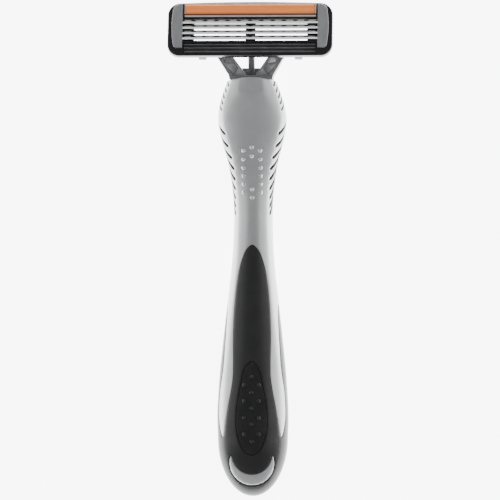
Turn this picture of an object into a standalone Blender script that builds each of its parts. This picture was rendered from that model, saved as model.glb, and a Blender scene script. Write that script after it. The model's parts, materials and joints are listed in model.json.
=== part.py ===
"""A cartridge razor lying on its back, with the head at +Y and the blades facing up.

Metres, +Z up. X is the razor's width, Y runs from the tail to the head, and the origin is the
middle of the base of the whole razor's box. The head is drawn in its own face frame: x across,
u from the guard to the cap, v out of the shaving face, with 0 on the plane of the blade edges.
"""

from math import atan2, cos, pi, radians, sin, sqrt, tan

import bmesh
import bpy
from mathutils import Matrix, Vector

MM = 0.001

# Clearances between pieces
SEAM = 0.05 * MM  # moulded pieces that are bonded or pressed together
RUNNING = 0.10 * MM  # pieces that turn or slide in each other

# Handle
HANDLE_LENGTH = 111.7 * MM  # tail to the middle of the joint's ends
GRIP_HALF_WIDTH = 9.6 * MM
NECK_HALF_WIDTH = 5.2 * MM
SHOULDER_HALF_WIDTH = 9.2 * MM
JOINT_HALF_WIDTH = 6.5 * MM
GRIP_DEPTH = 14.2 * MM
NECK_DEPTH = 10.0 * MM
JOINT_FRONT = 17.9 * MM  # height of the front face at the joint, over the table
JOINT_BACK = 9.0 * MM  # and of the back face
TAIL_LENGTH = 15.8 * MM  # the rounded end
TAIL_HEIGHT = 6.0 * MM  # of the tail's tip over the table
BACK_LAND = 0.35 * MM  # how much of the back's curve is ground flat, to lie on
JOINT_ARCH = 0.9 * MM  # rise of the joint line in the middle
FRONT_POWER = 2.3  # superellipse exponents of the handle's section
BACK_POWER = 3.0
RING_POINTS = 32
TAIL_RINGS, BODY_RINGS = 6, 24
FORM_PAST = 0.5 * MM  # how far the form runs on past the joint line, to be cut

# Share of the handle's length from the tail, then how far the width and the depth
# have gone from the neck's values to the grip's.
GRIP_STATIONS = [
    (0.141, 0.966, 0.95),
    (0.197, 1.0, 1.0),
    (0.286, 0.875, 0.95),
    (0.381, 0.636, 0.71),
    (0.476, 0.364, 0.43),
    (0.571, 0.118, 0.14),
    (0.662, 0.0, 0.0),
]
# The same from the neck to the shoulder's width, the joint's back and the joint's front.
SHOULDER_STATIONS = [
    (0.714, 0.025, 0.02, 0.025),
    (0.762, 0.163, 0.09, 0.10),
    (0.810, 0.402, 0.19, 0.25),
    (0.858, 0.766, 0.355, 0.456),
    (0.910, 1.0, 0.53, 0.684),
]
JOINT_STATIONS = [(0.953, 0.71, 0.755, 0.861), (1.0, 0.0, 1.0, 1.0)]

# Rubber on the handle
RUBBER_DEPTH = 1.0 * MM
PAD_DEPTH = 0.6 * MM
PART_LINE = 5.6 * MM  # height at which the front trim ends and the back rubber starts
GRIP_TOP = 0.52  # share of the handle's length where the back rubber ends
# Half-widths of the front tongue, from its tip to the ends of the side stripes
TONGUE = [
    (0.607, 0.0 * MM),
    (0.595, 1.6 * MM),
    (0.560, 3.2 * MM),
    (0.526, 4.0 * MM),
    (0.476, 4.67 * MM),
    (0.426, 5.0 * MM),
    (0.381, 5.1 * MM),
    (0.321, 5.0 * MM),
    (0.288, 5.1 * MM),
    (0.255, 5.65 * MM),
    (0.221, 6.4 * MM),
    (0.188, 7.0 * MM),
    (0.155, 7.5 * MM),
    (0.145, 7.9 * MM),
]
# How far the side stripes stay inside the handle's outline, from their ends upwards
STRIPE_INSET = [
    (0.150, 1.3 * MM),
    (0.188, 0.70 * MM),
    (0.221, 0.60 * MM),
    (0.255, 0.65 * MM),
    (0.288, 0.93 * MM),
    (0.321, 1.04 * MM),
    (0.354, 0.90 * MM),
    (0.405, 0.65 * MM),
    (0.450, 0.30 * MM),
    (0.485, -0.30 * MM),
]
# Half-widths of the teardrop pad
PAD = [
    (0.328, 0.0 * MM),
    (0.318, 1.3 * MM),
    (0.296, 2.35 * MM),
    (0.271, 2.95 * MM),
    (0.238, 3.66 * MM),
    (0.205, 4.10 * MM),
    (0.172, 4.15 * MM),
    (0.149, 3.80 * MM),
    (0.129, 3.10 * MM),
    (0.112, 2.10 * MM),
    (0.102, 0.0 * MM),
]
CRESCENT_TIP_HALF = 5.8 * MM
CRESCENT_TIPS = 0.0976  # share of the handle's length
CRESCENT_INNER_SAG = 4.8 * MM
CRESCENT_OUTER_SAG = 7.7 * MM
CRESCENT_TIP = 0.3 * MM  # how blunt the tips are

# Finger rest: a shell on the back of the neck with ribs that reach round to the front
REST_BOTTOM, REST_TOP = 0.622, 0.930  # shares of the handle's length
REST_EDGE_BOTTOM, REST_EDGE_TOP = 4.2 * MM, 9.6 * MM  # how high the shell's edge is there
REST_DEPTH = 0.9 * MM
RIBS = 9
RIB_FIRST = 0.6786
RIB_PITCH = 2.0 * MM
RIB_PITCH_GROWTH = 0.0875 * MM
RIB_THICKNESS = 0.55 * MM
RIB_SLOPE = radians(33.5)  # of the ribs' planes off the handle's axis, seen from the side
RIB_OVERLAP = 1.5 * MM  # of a rib into the shell
RIB_INSET = 1.3 * MM
RIB_INNER_HALF = 4.8 * MM
SHOULDER_GROOVES = 5
SHOULDER_GROOVE_FIRST = 0.928
SHOULDER_GROOVE_PITCH = 1.6 * MM
SHOULDER_GROOVE_WIDTH = 0.75 * MM
SHOULDER_GROOVE_INSET = 1.2 * MM
SHOULDER_GROOVE_LENGTH = 9.0 * MM

# Yoke and plunger
YOKE_HALF_WIDTH = 5.7 * MM
YOKE_WAIST = 1.5 * MM  # above the joint line, where the arms start to spread
YOKE_WAIST_HALF = 6.0 * MM
ARM_OUTER_HALF = 9.1 * MM  # where the arms go under the guard
ARM_INNER_HALF = 3.9 * MM
ARM_REACH = 6.5 * MM  # of that place above the joint line
CROTCH_HALF = 1.2 * MM
CROTCH_REACH = 4.0 * MM
POCKET_REACH = 1.4 * MM  # where the dark pocket round the plunger starts
POCKET_HALF = 4.9 * MM
POCKET_FLOOR = 12.0 * MM
YOKE_BACK, YOKE_FRONT = 10.0 * MM, 17.1 * MM
ARM_KNEE, ARM_KNEE_HEIGHT = 5.5 * MM, 13.9 * MM  # the bend under the arms
PIVOT_FORWARD, PIVOT_HEIGHT = 7.6 * MM, 17.6 * MM
BOSS_RADIUS = 1.85 * MM
BOSS_INNER_HALF, BOSS_OUTER_HALF = 8.0 * MM, 11.5 * MM
PIN_RADIUS = 1.05 * MM
PIN_REACH_HALF = 13.6 * MM
PLUG_HALF_WIDTH = 4.0 * MM
PLUG_HALF_DEPTH = 2.2 * MM
PLUG_LENGTH = 8.5 * MM
PLUNGER_HEIGHT = 12.6 * MM  # of the plunger's axis at the joint line
PLUNGER_SLOPE = radians(15)
PLUNGER_RADIUS = 0.9 * MM
PLUNGER_TIP_RADIUS = 0.45 * MM
PLUNGER_FLANGE_RADIUS = 1.2 * MM
PLUNGER_FLANGE = 1.0 * MM
PLUNGER_STEM_RADIUS = 0.55 * MM
PLUNGER_STEM = 2.0 * MM
SPRING_BORE_DEPTH = 7.8 * MM
SPRING_BORE_CLEARANCE = 0.15 * MM
SPRING_WIRE = 0.35 * MM
SPRING_TURNS = 5.5
CAM_CONTACT = 3.4 * MM  # from the base circle's tangent point to the plunger's tip at rest
CAM_HALF_WIDTH = 1.2 * MM
CAM_ROOT = 0.4 * MM  # how far the cam and the lugs are sunk in the housing's back
CAM_BACKING = 1.0 * MM
CAM_LEAD, CAM_SPARE = 1 / 6, 0.15  # of the swing, that the cam runs on before rest and past the stop
CAM_STEPS = 12
HEAD_SWING = radians(40)

# Head, in the face frame
HEAD_TILT = radians(18)
PIVOT_U, PIVOT_V = -4.6 * MM, -5.6 * MM
HEAD_WIDTH = 44.0 * MM
HEAD_GUARD_EDGE, HEAD_CAP_EDGE = -7.55 * MM, 7.9 * MM
HEAD_CORNER = 3.2 * MM
HEAD_CROWN = 0.6 * MM  # rise of the cap edge in the middle
HEAD_BACK, HEAD_RIM = -4.8 * MM, -0.35 * MM
SIDE_WALL = 3.1 * MM  # from the bay's end to the head's end
BLADES = 4
BLADE_PITCH = 1.5 * MM
FIRST_EDGE = 1.37 * MM
BLADE_SLOPE = radians(21)
BLADE_WIDTH = 1.3 * MM
BLADE_BEVEL = 0.6 * MM
BLADE_THICKNESS = 0.10 * MM
BLADE_TRAVEL = 0.35 * MM
BLADE_SIDE_GAP = 0.15 * MM
WELD_GAP = 0.015 * MM
SUPPORT_THICKNESS = 0.25 * MM
SUPPORT_START, SUPPORT_END = 0.5 * MM, BLADE_WIDTH * 0.92  # back from the blade's edge
SUPPORT_FOOT = -2.6 * MM
SUPPORT_INSET = 0.02 * MM
TAB_TOP, TAB_REACH = -1.4 * MM, 0.75 * MM
BAY_MARGIN = 0.27 * MM  # round the blades, towards the guard and the cap
RIB_TOP = -3.1 * MM
CENTRE_RIB_HALF = 1.33 * MM
END_RIB = 3.8 * MM
BAY_STEP = 0.08 * MM  # each opening is stepped in from the one over it
COMB_FLOOR = -3.65 * MM
COMB_THICKNESS = 0.22 * MM
COMB_FINGER_RUN = 0.55 * MM
COMB_FINGER_ROOT = 0.352 * MM
COMB_FINGER_INSET = 0.3 * MM
GUARD_TOP, GUARD_FLOOR = -0.1 * MM, -1.9 * MM
GUARD_LIP = 0.6 * MM
GUARD_RIM = 0.45 * MM
GUARD_FINS = 3
GUARD_VALLEY = -0.95 * MM
FIN_FOOT, FIN_CREST = (0.02, 0.90), (0.35, 0.65)  # shares of a fin's pitch
TRAY_LIP = 0.45 * MM
TRAY_FLOOR = -2.3 * MM
TRAY_WALL = 0.3 * MM
TRAY_FRONT = 0.75 * MM  # the tray's broad front lip
TRAY_RIM = 0.15 * MM  # how far the tray's walls stop below the edges' plane
CAP_RIM = 0.7 * MM
STRIP_CROWN = 0.1 * MM
STRIP_SHOULDER = 0.25  # share of the strip's width over which it rises to its crown
STRIP_DEPTH = 1.6 * MM
CAP_SHELF_END = 4.4 * MM  # from the strip's recess to the head's end
END_CAP_INNER, END_CAP_OUTER = 4.0 * MM, 1.1 * MM  # from the head's end
END_CAP_GUARD, END_CAP_TOP = -5.55 * MM, 6.85 * MM
END_CAP_FLOOR, END_CAP_FACE = -1.1 * MM, 0.3 * MM
END_CAP_BULGE = 0.6 * MM
END_CAP_STEPS = 6
END_CAP_LOW_CORNER, END_CAP_TOP_CORNER = 0.5 * MM, 1.3 * MM
END_CAP_GRIP = 0.06 * MM  # height of the caps' underside over the blades
LUG_WIDTH = 2.0 * MM
LUG_GAP = 0.3 * MM
LUG_WALL = 1.0 * MM
YOKE_POCKET_TOP = -3.55 * MM
YOKE_POCKET_U = -2.45 * MM

BEYOND = 3.0 * MM  # how far a cutter runs past what it cuts

# Places that follow from the sizes
HEAD_HALF = HEAD_WIDTH / 2
HEAD_ABOVE_JOINT = (
    PIVOT_FORWARD
    + (HEAD_CAP_EDGE - PIVOT_U) * cos(HEAD_TILT)
    + (HEAD_RIM - PIVOT_V) * sin(HEAD_TILT)
)
TAIL_Y = -(HANDLE_LENGTH + HEAD_ABOVE_JOINT) / 2
JOINT_Y = TAIL_Y + HANDLE_LENGTH
PIVOT = Vector((0, JOINT_Y + PIVOT_FORWARD, PIVOT_HEIGHT))
PLUNGER_START = Vector((0, JOINT_Y, PLUNGER_HEIGHT))
PIVOT_RISE = PIVOT_HEIGHT - PLUNGER_HEIGHT
# The circle round the pivot that the plunger's axis touches, and how far up the axis
CAM_RADIUS = PIVOT_RISE * cos(PLUNGER_SLOPE) - PIVOT_FORWARD * sin(PLUNGER_SLOPE)
CAM_PLACE = PIVOT_FORWARD * cos(PLUNGER_SLOPE) + PIVOT_RISE * sin(PLUNGER_SLOPE)
FACE_FROM_PIVOT = Vector((0, -PIVOT_U, -PIVOT_V))
BAY_HALF = HEAD_HALF - SIDE_WALL
BLADE_HALF = BAY_HALF - BLADE_SIDE_GAP
EDGES = [FIRST_EDGE - BLADE_PITCH * i for i in range(BLADES)]
BAY_GUARD = EDGES[-1] - BAY_MARGIN
BAY_CAP = EDGES[0] + BLADE_WIDTH * cos(BLADE_SLOPE) + BAY_MARGIN
SHELF_HALF = HEAD_HALF - CAP_SHELF_END
LUG_INNER = BOSS_OUTER_HALF + LUG_GAP


# ---- Materials


def material(name, colour, roughness, metallic=0.0):
    made = bpy.data.materials.new(name)
    made.use_nodes = True
    shader = made.node_tree.nodes["Principled BSDF"]
    shader.inputs["Base Color"].default_value = (*colour, 1)
    shader.inputs["Roughness"].default_value = roughness
    shader.inputs["Metallic"].default_value = metallic
    return made


# ---- Shapes


def solid(bm, name="tool"):
    """An object made of a bmesh, with its faces turned outwards."""
    bmesh.ops.recalc_face_normals(bm, faces=bm.faces)
    mesh = bpy.data.meshes.new(name)
    bm.to_mesh(mesh)
    bm.free()
    made = bpy.data.objects.new(name, mesh)
    bpy.context.collection.objects.link(made)
    return made


def extruded(corners, sweep):
    """A closed prism: a flat outline swept along a vector."""
    bm = bmesh.new()
    face = bm.faces.new([bm.verts.new(corner) for corner in corners])
    swept = bmesh.ops.extrude_face_region(bm, geom=[face])["geom"]
    moved = [v for v in swept if isinstance(v, bmesh.types.BMVert)]
    bmesh.ops.translate(bm, verts=moved, vec=sweep)
    return solid(bm)


def plate(outline, low, high):
    """An (x, y) outline extruded up Z."""
    return extruded([(x, y, low) for x, y in outline], (0, 0, high - low))


def bar(profile, low, high):
    """A (y, z) profile extruded along X."""
    return extruded([(low, y, z) for y, z in profile], (high - low, 0, 0))


def box(x, y, z):
    return plate([(x[0], y[0]), (x[1], y[0]), (x[1], y[1]), (x[0], y[1])], *z)


def rod(radius, low, high, middle=(0, 0)):
    """A round bar along X."""
    return bar(circle(middle, radius), low, high)


def gathered(pieces):
    """Solids that stay clear of each other, as one tool."""
    bm = bmesh.new()
    for piece in pieces:
        bm.from_mesh(piece.data)
        bpy.data.objects.remove(piece)
    return solid(bm)


def both_sides(make, low, high, *rest):
    """What make(low, high) spans in X, and its mirror image across X = 0, as one tool."""
    return gathered([make(low, high, *rest), make(-high, -low, *rest)])


def grown(outline, by):
    """The outline with every side moved outwards by this much."""
    points = [Vector(p) for p in outline]
    pairs = list(zip(points, points[1:] + points[:1]))
    way = 1 if sum(a.x * b.y - b.x * a.y for a, b in pairs) > 0 else -1
    outward = [Vector((b.y - a.y, a.x - b.x)).normalized() * way for a, b in pairs]
    found = []
    for i, point in enumerate(points):
        middle = (outward[i - 1] + outward[i]).normalized()
        point = point + middle * by / max(middle.dot(outward[i]), 0.4)
        found.append((point.x, point.y))
    return found


def loft(rings, first_pole, last_pole=None):
    """Rings of equal count skinned into a solid, from a pole to a pole or a flat end."""
    bm = bmesh.new()
    rows = [[bm.verts.new(p) for p in ring] for ring in rings]
    for lower, upper in zip(rows, rows[1:]):
        for i in range(len(lower)):
            j = (i + 1) % len(lower)
            bm.faces.new((lower[i], lower[j], upper[j], upper[i]))
    for pole, row in ((first_pole, rows[0]), (last_pole, rows[-1])):
        if pole is None:
            bm.faces.new(row)
            continue
        tip = bm.verts.new(pole)
        for i in range(len(row)):
            bm.faces.new((tip, row[i], row[(i + 1) % len(row)]))
    return solid(bm)


def turned(profile, segments=20):
    """A (y, radius) profile turned round the Y axis. It starts and ends on the axis."""
    rings = []
    for y, radius in profile[1:-1]:
        rings.append([(x, y, z) for x, z in circle((0, 0), radius, segments)])
    return loft(rings, (0, profile[0][0], 0), (0, profile[-1][0], 0))


def arc(middle, radius, start, end, steps):
    angles = [start + (end - start) * i / steps for i in range(steps + 1)]
    return [(middle[0] + radius * cos(a), middle[1] + radius * sin(a)) for a in angles]


def circle(middle, radius, segments=20):
    return arc(middle, radius, 0, 2 * pi, segments)[:-1]


def filleted(corners, steps=4):
    """An outline from (x, y, radius) corners, with an arc at each corner that has a radius."""
    outline = []
    for i, (x, y, radius) in enumerate(corners):
        corner = Vector((x, y))
        if radius == 0:
            outline.append((x, y))
            continue
        before = (Vector(corners[i - 1][:2]) - corner).normalized()
        after = (Vector(corners[(i + 1) % len(corners)][:2]) - corner).normalized()
        half = before.angle(after) / 2
        middle = corner + (before + after).normalized() * radius / sin(half)
        first = corner + before * radius / tan(half) - middle
        last = corner + after * radius / tan(half) - middle
        start = atan2(first.y, first.x)
        turn = (atan2(last.y, last.x) - start + pi) % (2 * pi) - pi
        outline += arc(middle, radius, start, start + turn, steps)
    return outline


def combined(target, tools, operation="DIFFERENCE"):
    """The target after an exact Boolean with each tool, which is used up."""
    for tool in tools:
        step = target.modifiers.new("step", "BOOLEAN")
        step.operation = operation
        step.solver = "EXACT"
        step.object = tool
        bpy.context.view_layer.update()
        graph = bpy.context.evaluated_depsgraph_get()
        result = bpy.data.meshes.new_from_object(target.evaluated_get(graph))
        target.modifiers.remove(step)
        target.data = result
        bpy.data.objects.remove(tool)
    return target


def cut(target, *tools):
    return combined(target, tools)


def joined(target, *tools):
    return combined(target, tools, "UNION")


def common(target, *tools):
    return combined(target, tools, "INTERSECT")


def moved(made, location=(0, 0, 0), turn_x=0.0):
    """The same object with its mesh moved, for tools that work in another frame."""
    made.data.transform(Matrix.Translation(location) @ Matrix.Rotation(turn_x, 4, "X"))
    return made


def finished(made, name, look, parent=None, location=(0, 0, 0), turn_x=0.0):
    """Names a piece, gives it its material and places it under its parent."""
    made.name = name
    made.data.name = name
    made.data.materials.clear()
    made.data.materials.append(look)
    made.data.shade_smooth()
    made.data.set_sharp_from_angle(angle=radians(35))
    made.parent = parent
    made.location = location
    made.rotation_euler = (turn_x, 0, 0)
    return made


def empty(name, location, turn_x=0.0, parent=None):
    made = bpy.data.objects.new(name, None)
    made.empty_display_size = 5 * MM
    made.location = location
    made.rotation_euler = (turn_x, 0, 0)
    made.parent = parent
    bpy.context.collection.objects.link(made)
    return made


# ---- The handle's form


def between(low, high, share):
    return low + (high - low) * share


def handle_y(share):
    return between(TAIL_Y, JOINT_Y, share)


def stations():
    """(y, half width, back height, front height) down the handle, past the rounded tail."""
    rows = []
    for share, width, depth in GRIP_STATIONS:
        half = between(NECK_HALF_WIDTH, GRIP_HALF_WIDTH, width)
        rows.append((handle_y(share), half, 0.0, between(NECK_DEPTH, GRIP_DEPTH, depth)))
    for start, section in (
        (NECK_HALF_WIDTH, SHOULDER_STATIONS),
        (JOINT_HALF_WIDTH, JOINT_STATIONS),
    ):
        for share, width, back, front in section:
            half = between(start, SHOULDER_HALF_WIDTH, width)
            rise = between(0.0, JOINT_BACK, back)
            rows.append((handle_y(share), half, rise, between(NECK_DEPTH, JOINT_FRONT, front)))
    return rows


def smooth(rows, at):
    """The row at this place: a cubic through the rows, whose slopes are those of its neighbours."""
    last = len(rows) - 1
    i = max(k for k in range(last) if rows[k][0] <= max(at, rows[0][0]))
    low, high = rows[i], rows[i + 1]
    before, after = rows[max(i - 1, 0)], rows[min(i + 2, last)]
    span = high[0] - low[0]
    t = min(max((at - low[0]) / span, 0), 1)
    found = []
    for column in range(1, len(low)):
        slope_low = (high[column] - before[column]) / (high[0] - before[0]) * span
        slope_high = (after[column] - low[column]) / (after[0] - low[0]) * span
        found.append(
            low[column] * (2 * t**3 - 3 * t**2 + 1)
            + high[column] * (3 * t**2 - 2 * t**3)
            + slope_low * (t**3 - 2 * t**2 + t)
            + slope_high * (t**3 - t**2)
        )
    return found


def section(y, inset=0.0):
    """Half width, back height and front height of the handle at y, less an inset all round."""
    rows = stations()
    tail_end = TAIL_Y + TAIL_LENGTH
    half, back, front = smooth(rows, max(y, tail_end))
    half, back, front = half - inset, back + inset - BACK_LAND, front - inset
    if y < tail_end:
        reach = (tail_end - y) / (TAIL_LENGTH - inset)
        share = sqrt(max(1 - reach * reach, 0))
        back = between(TAIL_HEIGHT, back, share)
        front = between(TAIL_HEIGHT, front, share)
        half *= share
    return half, back, front


def ring(y, inset=0.0):
    """The handle's cross-section: a superellipse, boxier at the back, ground flat to lie on."""
    half, back, front = section(y, inset)
    middle = (back + front) / 2
    points = []
    for i in range(RING_POINTS):
        angle = 2 * pi * i / RING_POINTS
        power = FRONT_POWER if sin(angle) >= 0 else BACK_POWER
        top = front if sin(angle) >= 0 else back
        x = half * abs(cos(angle)) ** (2 / power) * (1 if cos(angle) >= 0 else -1)
        z = middle + (top - middle) * abs(sin(angle)) ** (2 / power)
        points.append((x, y, max(z, inset)))
    return points


def handle_form(inset=0.0):
    """The whole handle's outside, or a smaller one inside it, running a little past the joint."""
    tail_end = TAIL_Y + TAIL_LENGTH
    tail = TAIL_LENGTH - inset
    steps = range(1, TAIL_RINGS + 1)
    places = [tail_end - tail * cos(pi / 2 * i / TAIL_RINGS) for i in steps]
    steps = range(1, BODY_RINGS + 1)
    places += [between(tail_end, JOINT_Y, i / BODY_RINGS) for i in steps]
    rings = [ring(y, inset) for y in places]
    past = JOINT_ARCH + RUNNING + inset + FORM_PAST
    rings.append([(x, y + past, z) for x, y, z in rings[-1]])
    return loft(rings, (0, tail_end - tail, max(TAIL_HEIGHT, inset)))


def both_halves(right):
    """A closed outline from its right half, listed from the middle line and back to it."""
    return right + [(-x, y) for x, y in reversed(right) if x > 0]


def front_height(x, y):
    """The height of the handle's front surface over this point."""
    half, back, front = section(y)
    middle = (back + front) / 2
    share = max(1 - (abs(x) / half) ** FRONT_POWER, 0)
    return middle + (front - middle) * share ** (1 / FRONT_POWER)


def trim_tool(grow=0.0):
    """The bright trim: the neck's front, and the two stripes beside the tongue."""
    wide = SHOULDER_HALF_WIDTH + BEYOND
    top = JOINT_Y + BEYOND
    right = [(0, top), (wide, top), (wide, handle_y(STRIPE_INSET[-1][0]))]
    for share, inset in reversed(STRIPE_INSET):
        y = handle_y(share)
        right.append((section(y)[0] - inset, y))
    right += [(half, handle_y(share)) for share, half in reversed(TONGUE)]
    outline = grown(both_halves(right), grow)
    return plate(outline, PART_LINE - grow, JOINT_FRONT + BEYOND)


def hanging_arc(half, sag):
    """An arc that hangs between two tips, from the right one to the left one."""
    radius = (half**2 + sag**2) / (2 * sag)
    tips_y = handle_y(CRESCENT_TIPS)
    middle = (0, tips_y - sag + radius)
    start = atan2(tips_y - middle[1], half)
    return arc(middle, radius, start, -pi - start, 16)


def crescent_tool(grow=0.0):
    outer = hanging_arc(CRESCENT_TIP_HALF, CRESCENT_OUTER_SAG)
    inner = hanging_arc(CRESCENT_TIP_HALF - CRESCENT_TIP, CRESCENT_INNER_SAG)
    outline = grown(outer + inner[::-1], grow)
    return plate(outline, PART_LINE - grow, GRIP_DEPTH + BEYOND)


def pad_tool(grow=0.0):
    """The teardrop, down to the pad's own depth below the handle's surface."""
    outline = grown(both_halves([(half, handle_y(share)) for share, half in PAD]), grow)
    over = plate(outline, PART_LINE + RUBBER_DEPTH, GRIP_DEPTH + BEYOND)
    return cut(over, handle_form(PAD_DEPTH + grow))


def grip_zone(seam=0.0):
    """What the grip's rubber fills: the back up to its top edge, and the tongue in front."""
    wide = GRIP_HALF_WIDTH + BEYOND
    low, high = TAIL_Y - BEYOND, handle_y(TONGUE[0][0]) + BEYOND
    top = handle_y(GRIP_TOP) - seam
    step, over = PART_LINE + RUBBER_DEPTH, GRIP_DEPTH + BEYOND
    profile = [(low, -BEYOND), (top, -BEYOND), (top, step), (high, step), (high, over), (low, over)]
    zone = bar(profile, -wide, wide)
    return cut(zone, handle_form(RUBBER_DEPTH - seam), trim_tool(seam), crescent_tool(seam))


def slanted(x, y, thickness, length):
    """A (y, z) bar profile that runs back and down from the front surface at this point."""
    along = Vector((cos(RIB_SLOPE), -sin(RIB_SLOPE)))
    aside = Vector((sin(RIB_SLOPE), cos(RIB_SLOPE))) * thickness / 2
    start = Vector((y, front_height(x, y)))
    ends = (start - along * BEYOND / 2, start + along * length)
    return [tuple(p) for p in (ends[0] + aside, ends[1] + aside, ends[1] - aside, ends[0] - aside)]


def rest_edge(y):
    """How high the finger rest's shell reaches round the side."""
    share = (y - handle_y(REST_BOTTOM)) / (handle_y(REST_TOP) - handle_y(REST_BOTTOM))
    return between(REST_EDGE_BOTTOM, REST_EDGE_TOP, share)


def rest_zone(seam=0.0):
    """What the finger rest fills: the shell on the back and the ribs on both sides."""
    wide = SHOULDER_HALF_WIDTH + BEYOND
    low, high = handle_y(REST_BOTTOM) + seam, handle_y(REST_TOP) - seam
    shell = [(low, -BEYOND), (low, rest_edge(low) - seam), (high, rest_edge(high) - seam), (high, -BEYOND)]
    zone = bar(shell, -wide, wide)
    climb = (rest_edge(high) - rest_edge(low)) / (high - low)
    for k in range(RIBS):
        y = handle_y(RIB_FIRST) + RIB_PITCH * k + RIB_PITCH_GROWTH * k * k
        x = max(RIB_INNER_HALF, section(y)[0] - RIB_INSET)
        fall = sin(RIB_SLOPE) + climb * cos(RIB_SLOPE)
        length = (front_height(x, y) - rest_edge(y)) / fall + RIB_OVERLAP
        profile = slanted(x, y, RIB_THICKNESS - 2 * seam, length)
        for low_x, high_x in ((x + seam, wide), (-wide, -x - seam)):
            joined(zone, bar(profile, low_x, high_x))
    return cut(zone, handle_form(REST_DEPTH - seam))


def shoulder_grooves():
    """The slanted grooves that leave fins on both shoulders."""
    wide = SHOULDER_HALF_WIDTH + BEYOND
    grooves = []
    for k in range(SHOULDER_GROOVES):
        y = handle_y(SHOULDER_GROOVE_FIRST) + SHOULDER_GROOVE_PITCH * k
        x = section(y)[0] - SHOULDER_GROOVE_INSET
        profile = slanted(x, y, SHOULDER_GROOVE_WIDTH, SHOULDER_GROOVE_LENGTH)
        grooves += [bar(profile, x, wide), bar(profile, -wide, -x)]
    return gathered(grooves)


def joint_line(x, gap=0.0):
    """Where the handle ends and the yoke starts, arched across the handle."""
    return JOINT_Y + JOINT_ARCH * max(1 - (x / JOINT_HALF_WIDTH) ** 2, 0) + gap


def across(half, steps=8):
    return [half * i / steps for i in range(steps + 1)]


def joint_tool():
    """All that lies beyond the handle's arched end."""
    wide = SHOULDER_HALF_WIDTH + BEYOND
    top = JOINT_Y + 3 * BEYOND
    right = [(x, joint_line(x)) for x in across(JOINT_HALF_WIDTH)]
    right += [(wide, JOINT_Y), (wide, top), (0, top)]
    return plate(both_halves(right), -BEYOND, JOINT_FRONT + BEYOND)


def plug_box(gap=0.0, past=BEYOND):
    """The plug that holds the yoke in the handle, or the socket round it."""
    half_x, half_z = PLUG_HALF_WIDTH + gap, PLUG_HALF_DEPTH + gap
    made = box((-half_x, half_x), (-PLUG_LENGTH - gap, past), (-half_z, half_z))
    return moved(made, PLUNGER_START, PLUNGER_SLOPE)


# ---- Handle pieces


def make_handle_body():
    body = handle_form()
    cut(body, grip_zone(), rest_zone(), shoulder_grooves(), joint_tool(), plug_box(RUNNING))
    finished(body, "handle_body", material("silver_plastic", (0.55, 0.56, 0.57), 0.32, 0.35))


def make_grip():
    rubber = (0.012, 0.012, 0.014)
    grip = common(handle_form(), grip_zone(SEAM))
    cut(grip, pad_tool(SEAM))
    finished(grip, "grip_overmould", material("grip_rubber", rubber, 0.55))
    pad = common(handle_form(), pad_tool())
    finished(pad, "palm_pad", material("pad_rubber", (0.018, 0.018, 0.020), 0.8))
    rest = common(handle_form(), rest_zone(SEAM))
    finished(rest, "finger_rest", material("rest_rubber", rubber, 0.6))


def make_yoke():
    y = JOINT_Y
    right = [(x, joint_line(x, RUNNING)) for x in across(YOKE_HALF_WIDTH)]
    right += [
        (YOKE_WAIST_HALF, y + YOKE_WAIST),
        (ARM_OUTER_HALF, y + ARM_REACH),
        (BOSS_OUTER_HALF, y + PIVOT_FORWARD - BOSS_RADIUS / 2),
        (BOSS_OUTER_HALF, y + PIVOT_FORWARD + BEYOND),
        (BOSS_INNER_HALF, y + PIVOT_FORWARD + BEYOND),
        (ARM_INNER_HALF, y + ARM_REACH),
        (CROTCH_HALF, y + CROTCH_REACH),
        (0, y + CROTCH_REACH),
    ]
    boss = arc((PIVOT.y, PIVOT.z), BOSS_RADIUS, radians(-50), radians(125), 10)
    side = [(y - BEYOND, YOKE_BACK), (y + YOKE_WAIST, YOKE_BACK), (y + ARM_KNEE, ARM_KNEE_HEIGHT)]
    side += boss + [(y + YOKE_WAIST, YOKE_FRONT), (y - BEYOND, YOKE_FRONT)]
    yoke = plate(both_halves(right), -BEYOND, PIVOT_HEIGHT + BEYOND)
    common(yoke, bar(side, -HEAD_HALF, HEAD_HALF))
    joined(yoke, plug_box(past=CROTCH_REACH / 2))
    joined(yoke, both_sides(pin_bar, BOSS_OUTER_HALF - BEYOND, PIN_REACH_HALF))
    pocket = [
        (0, y + POCKET_REACH),
        (CROTCH_HALF, y + POCKET_REACH),
        (POCKET_HALF, y + ARM_REACH),
        (POCKET_HALF, y + PIVOT_FORWARD + BEYOND),
        (0, y + PIVOT_FORWARD + BEYOND),
    ]
    cut(yoke, plate(both_halves(pocket), POCKET_FLOOR, PIVOT_HEIGHT + 2 * BEYOND))
    wide = PLUNGER_FLANGE_RADIUS + SPRING_BORE_CLEARANCE
    narrow = PLUNGER_RADIUS + RUNNING
    end = CROTCH_REACH + BEYOND
    bore = [(-SPRING_BORE_DEPTH, 0), (-SPRING_BORE_DEPTH, wide), (0, wide)]
    bore += [(0, narrow), (end, narrow), (end, 0)]
    cut(yoke, moved(turned(bore), PLUNGER_START, PLUNGER_SLOPE))
    finished(yoke, "pivot_yoke", material("yoke_plastic", (0.16, 0.16, 0.17), 0.4))


def pin_bar(low, high):
    return rod(PIN_RADIUS, low, high, (PIVOT.y, PIVOT.z))


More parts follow.
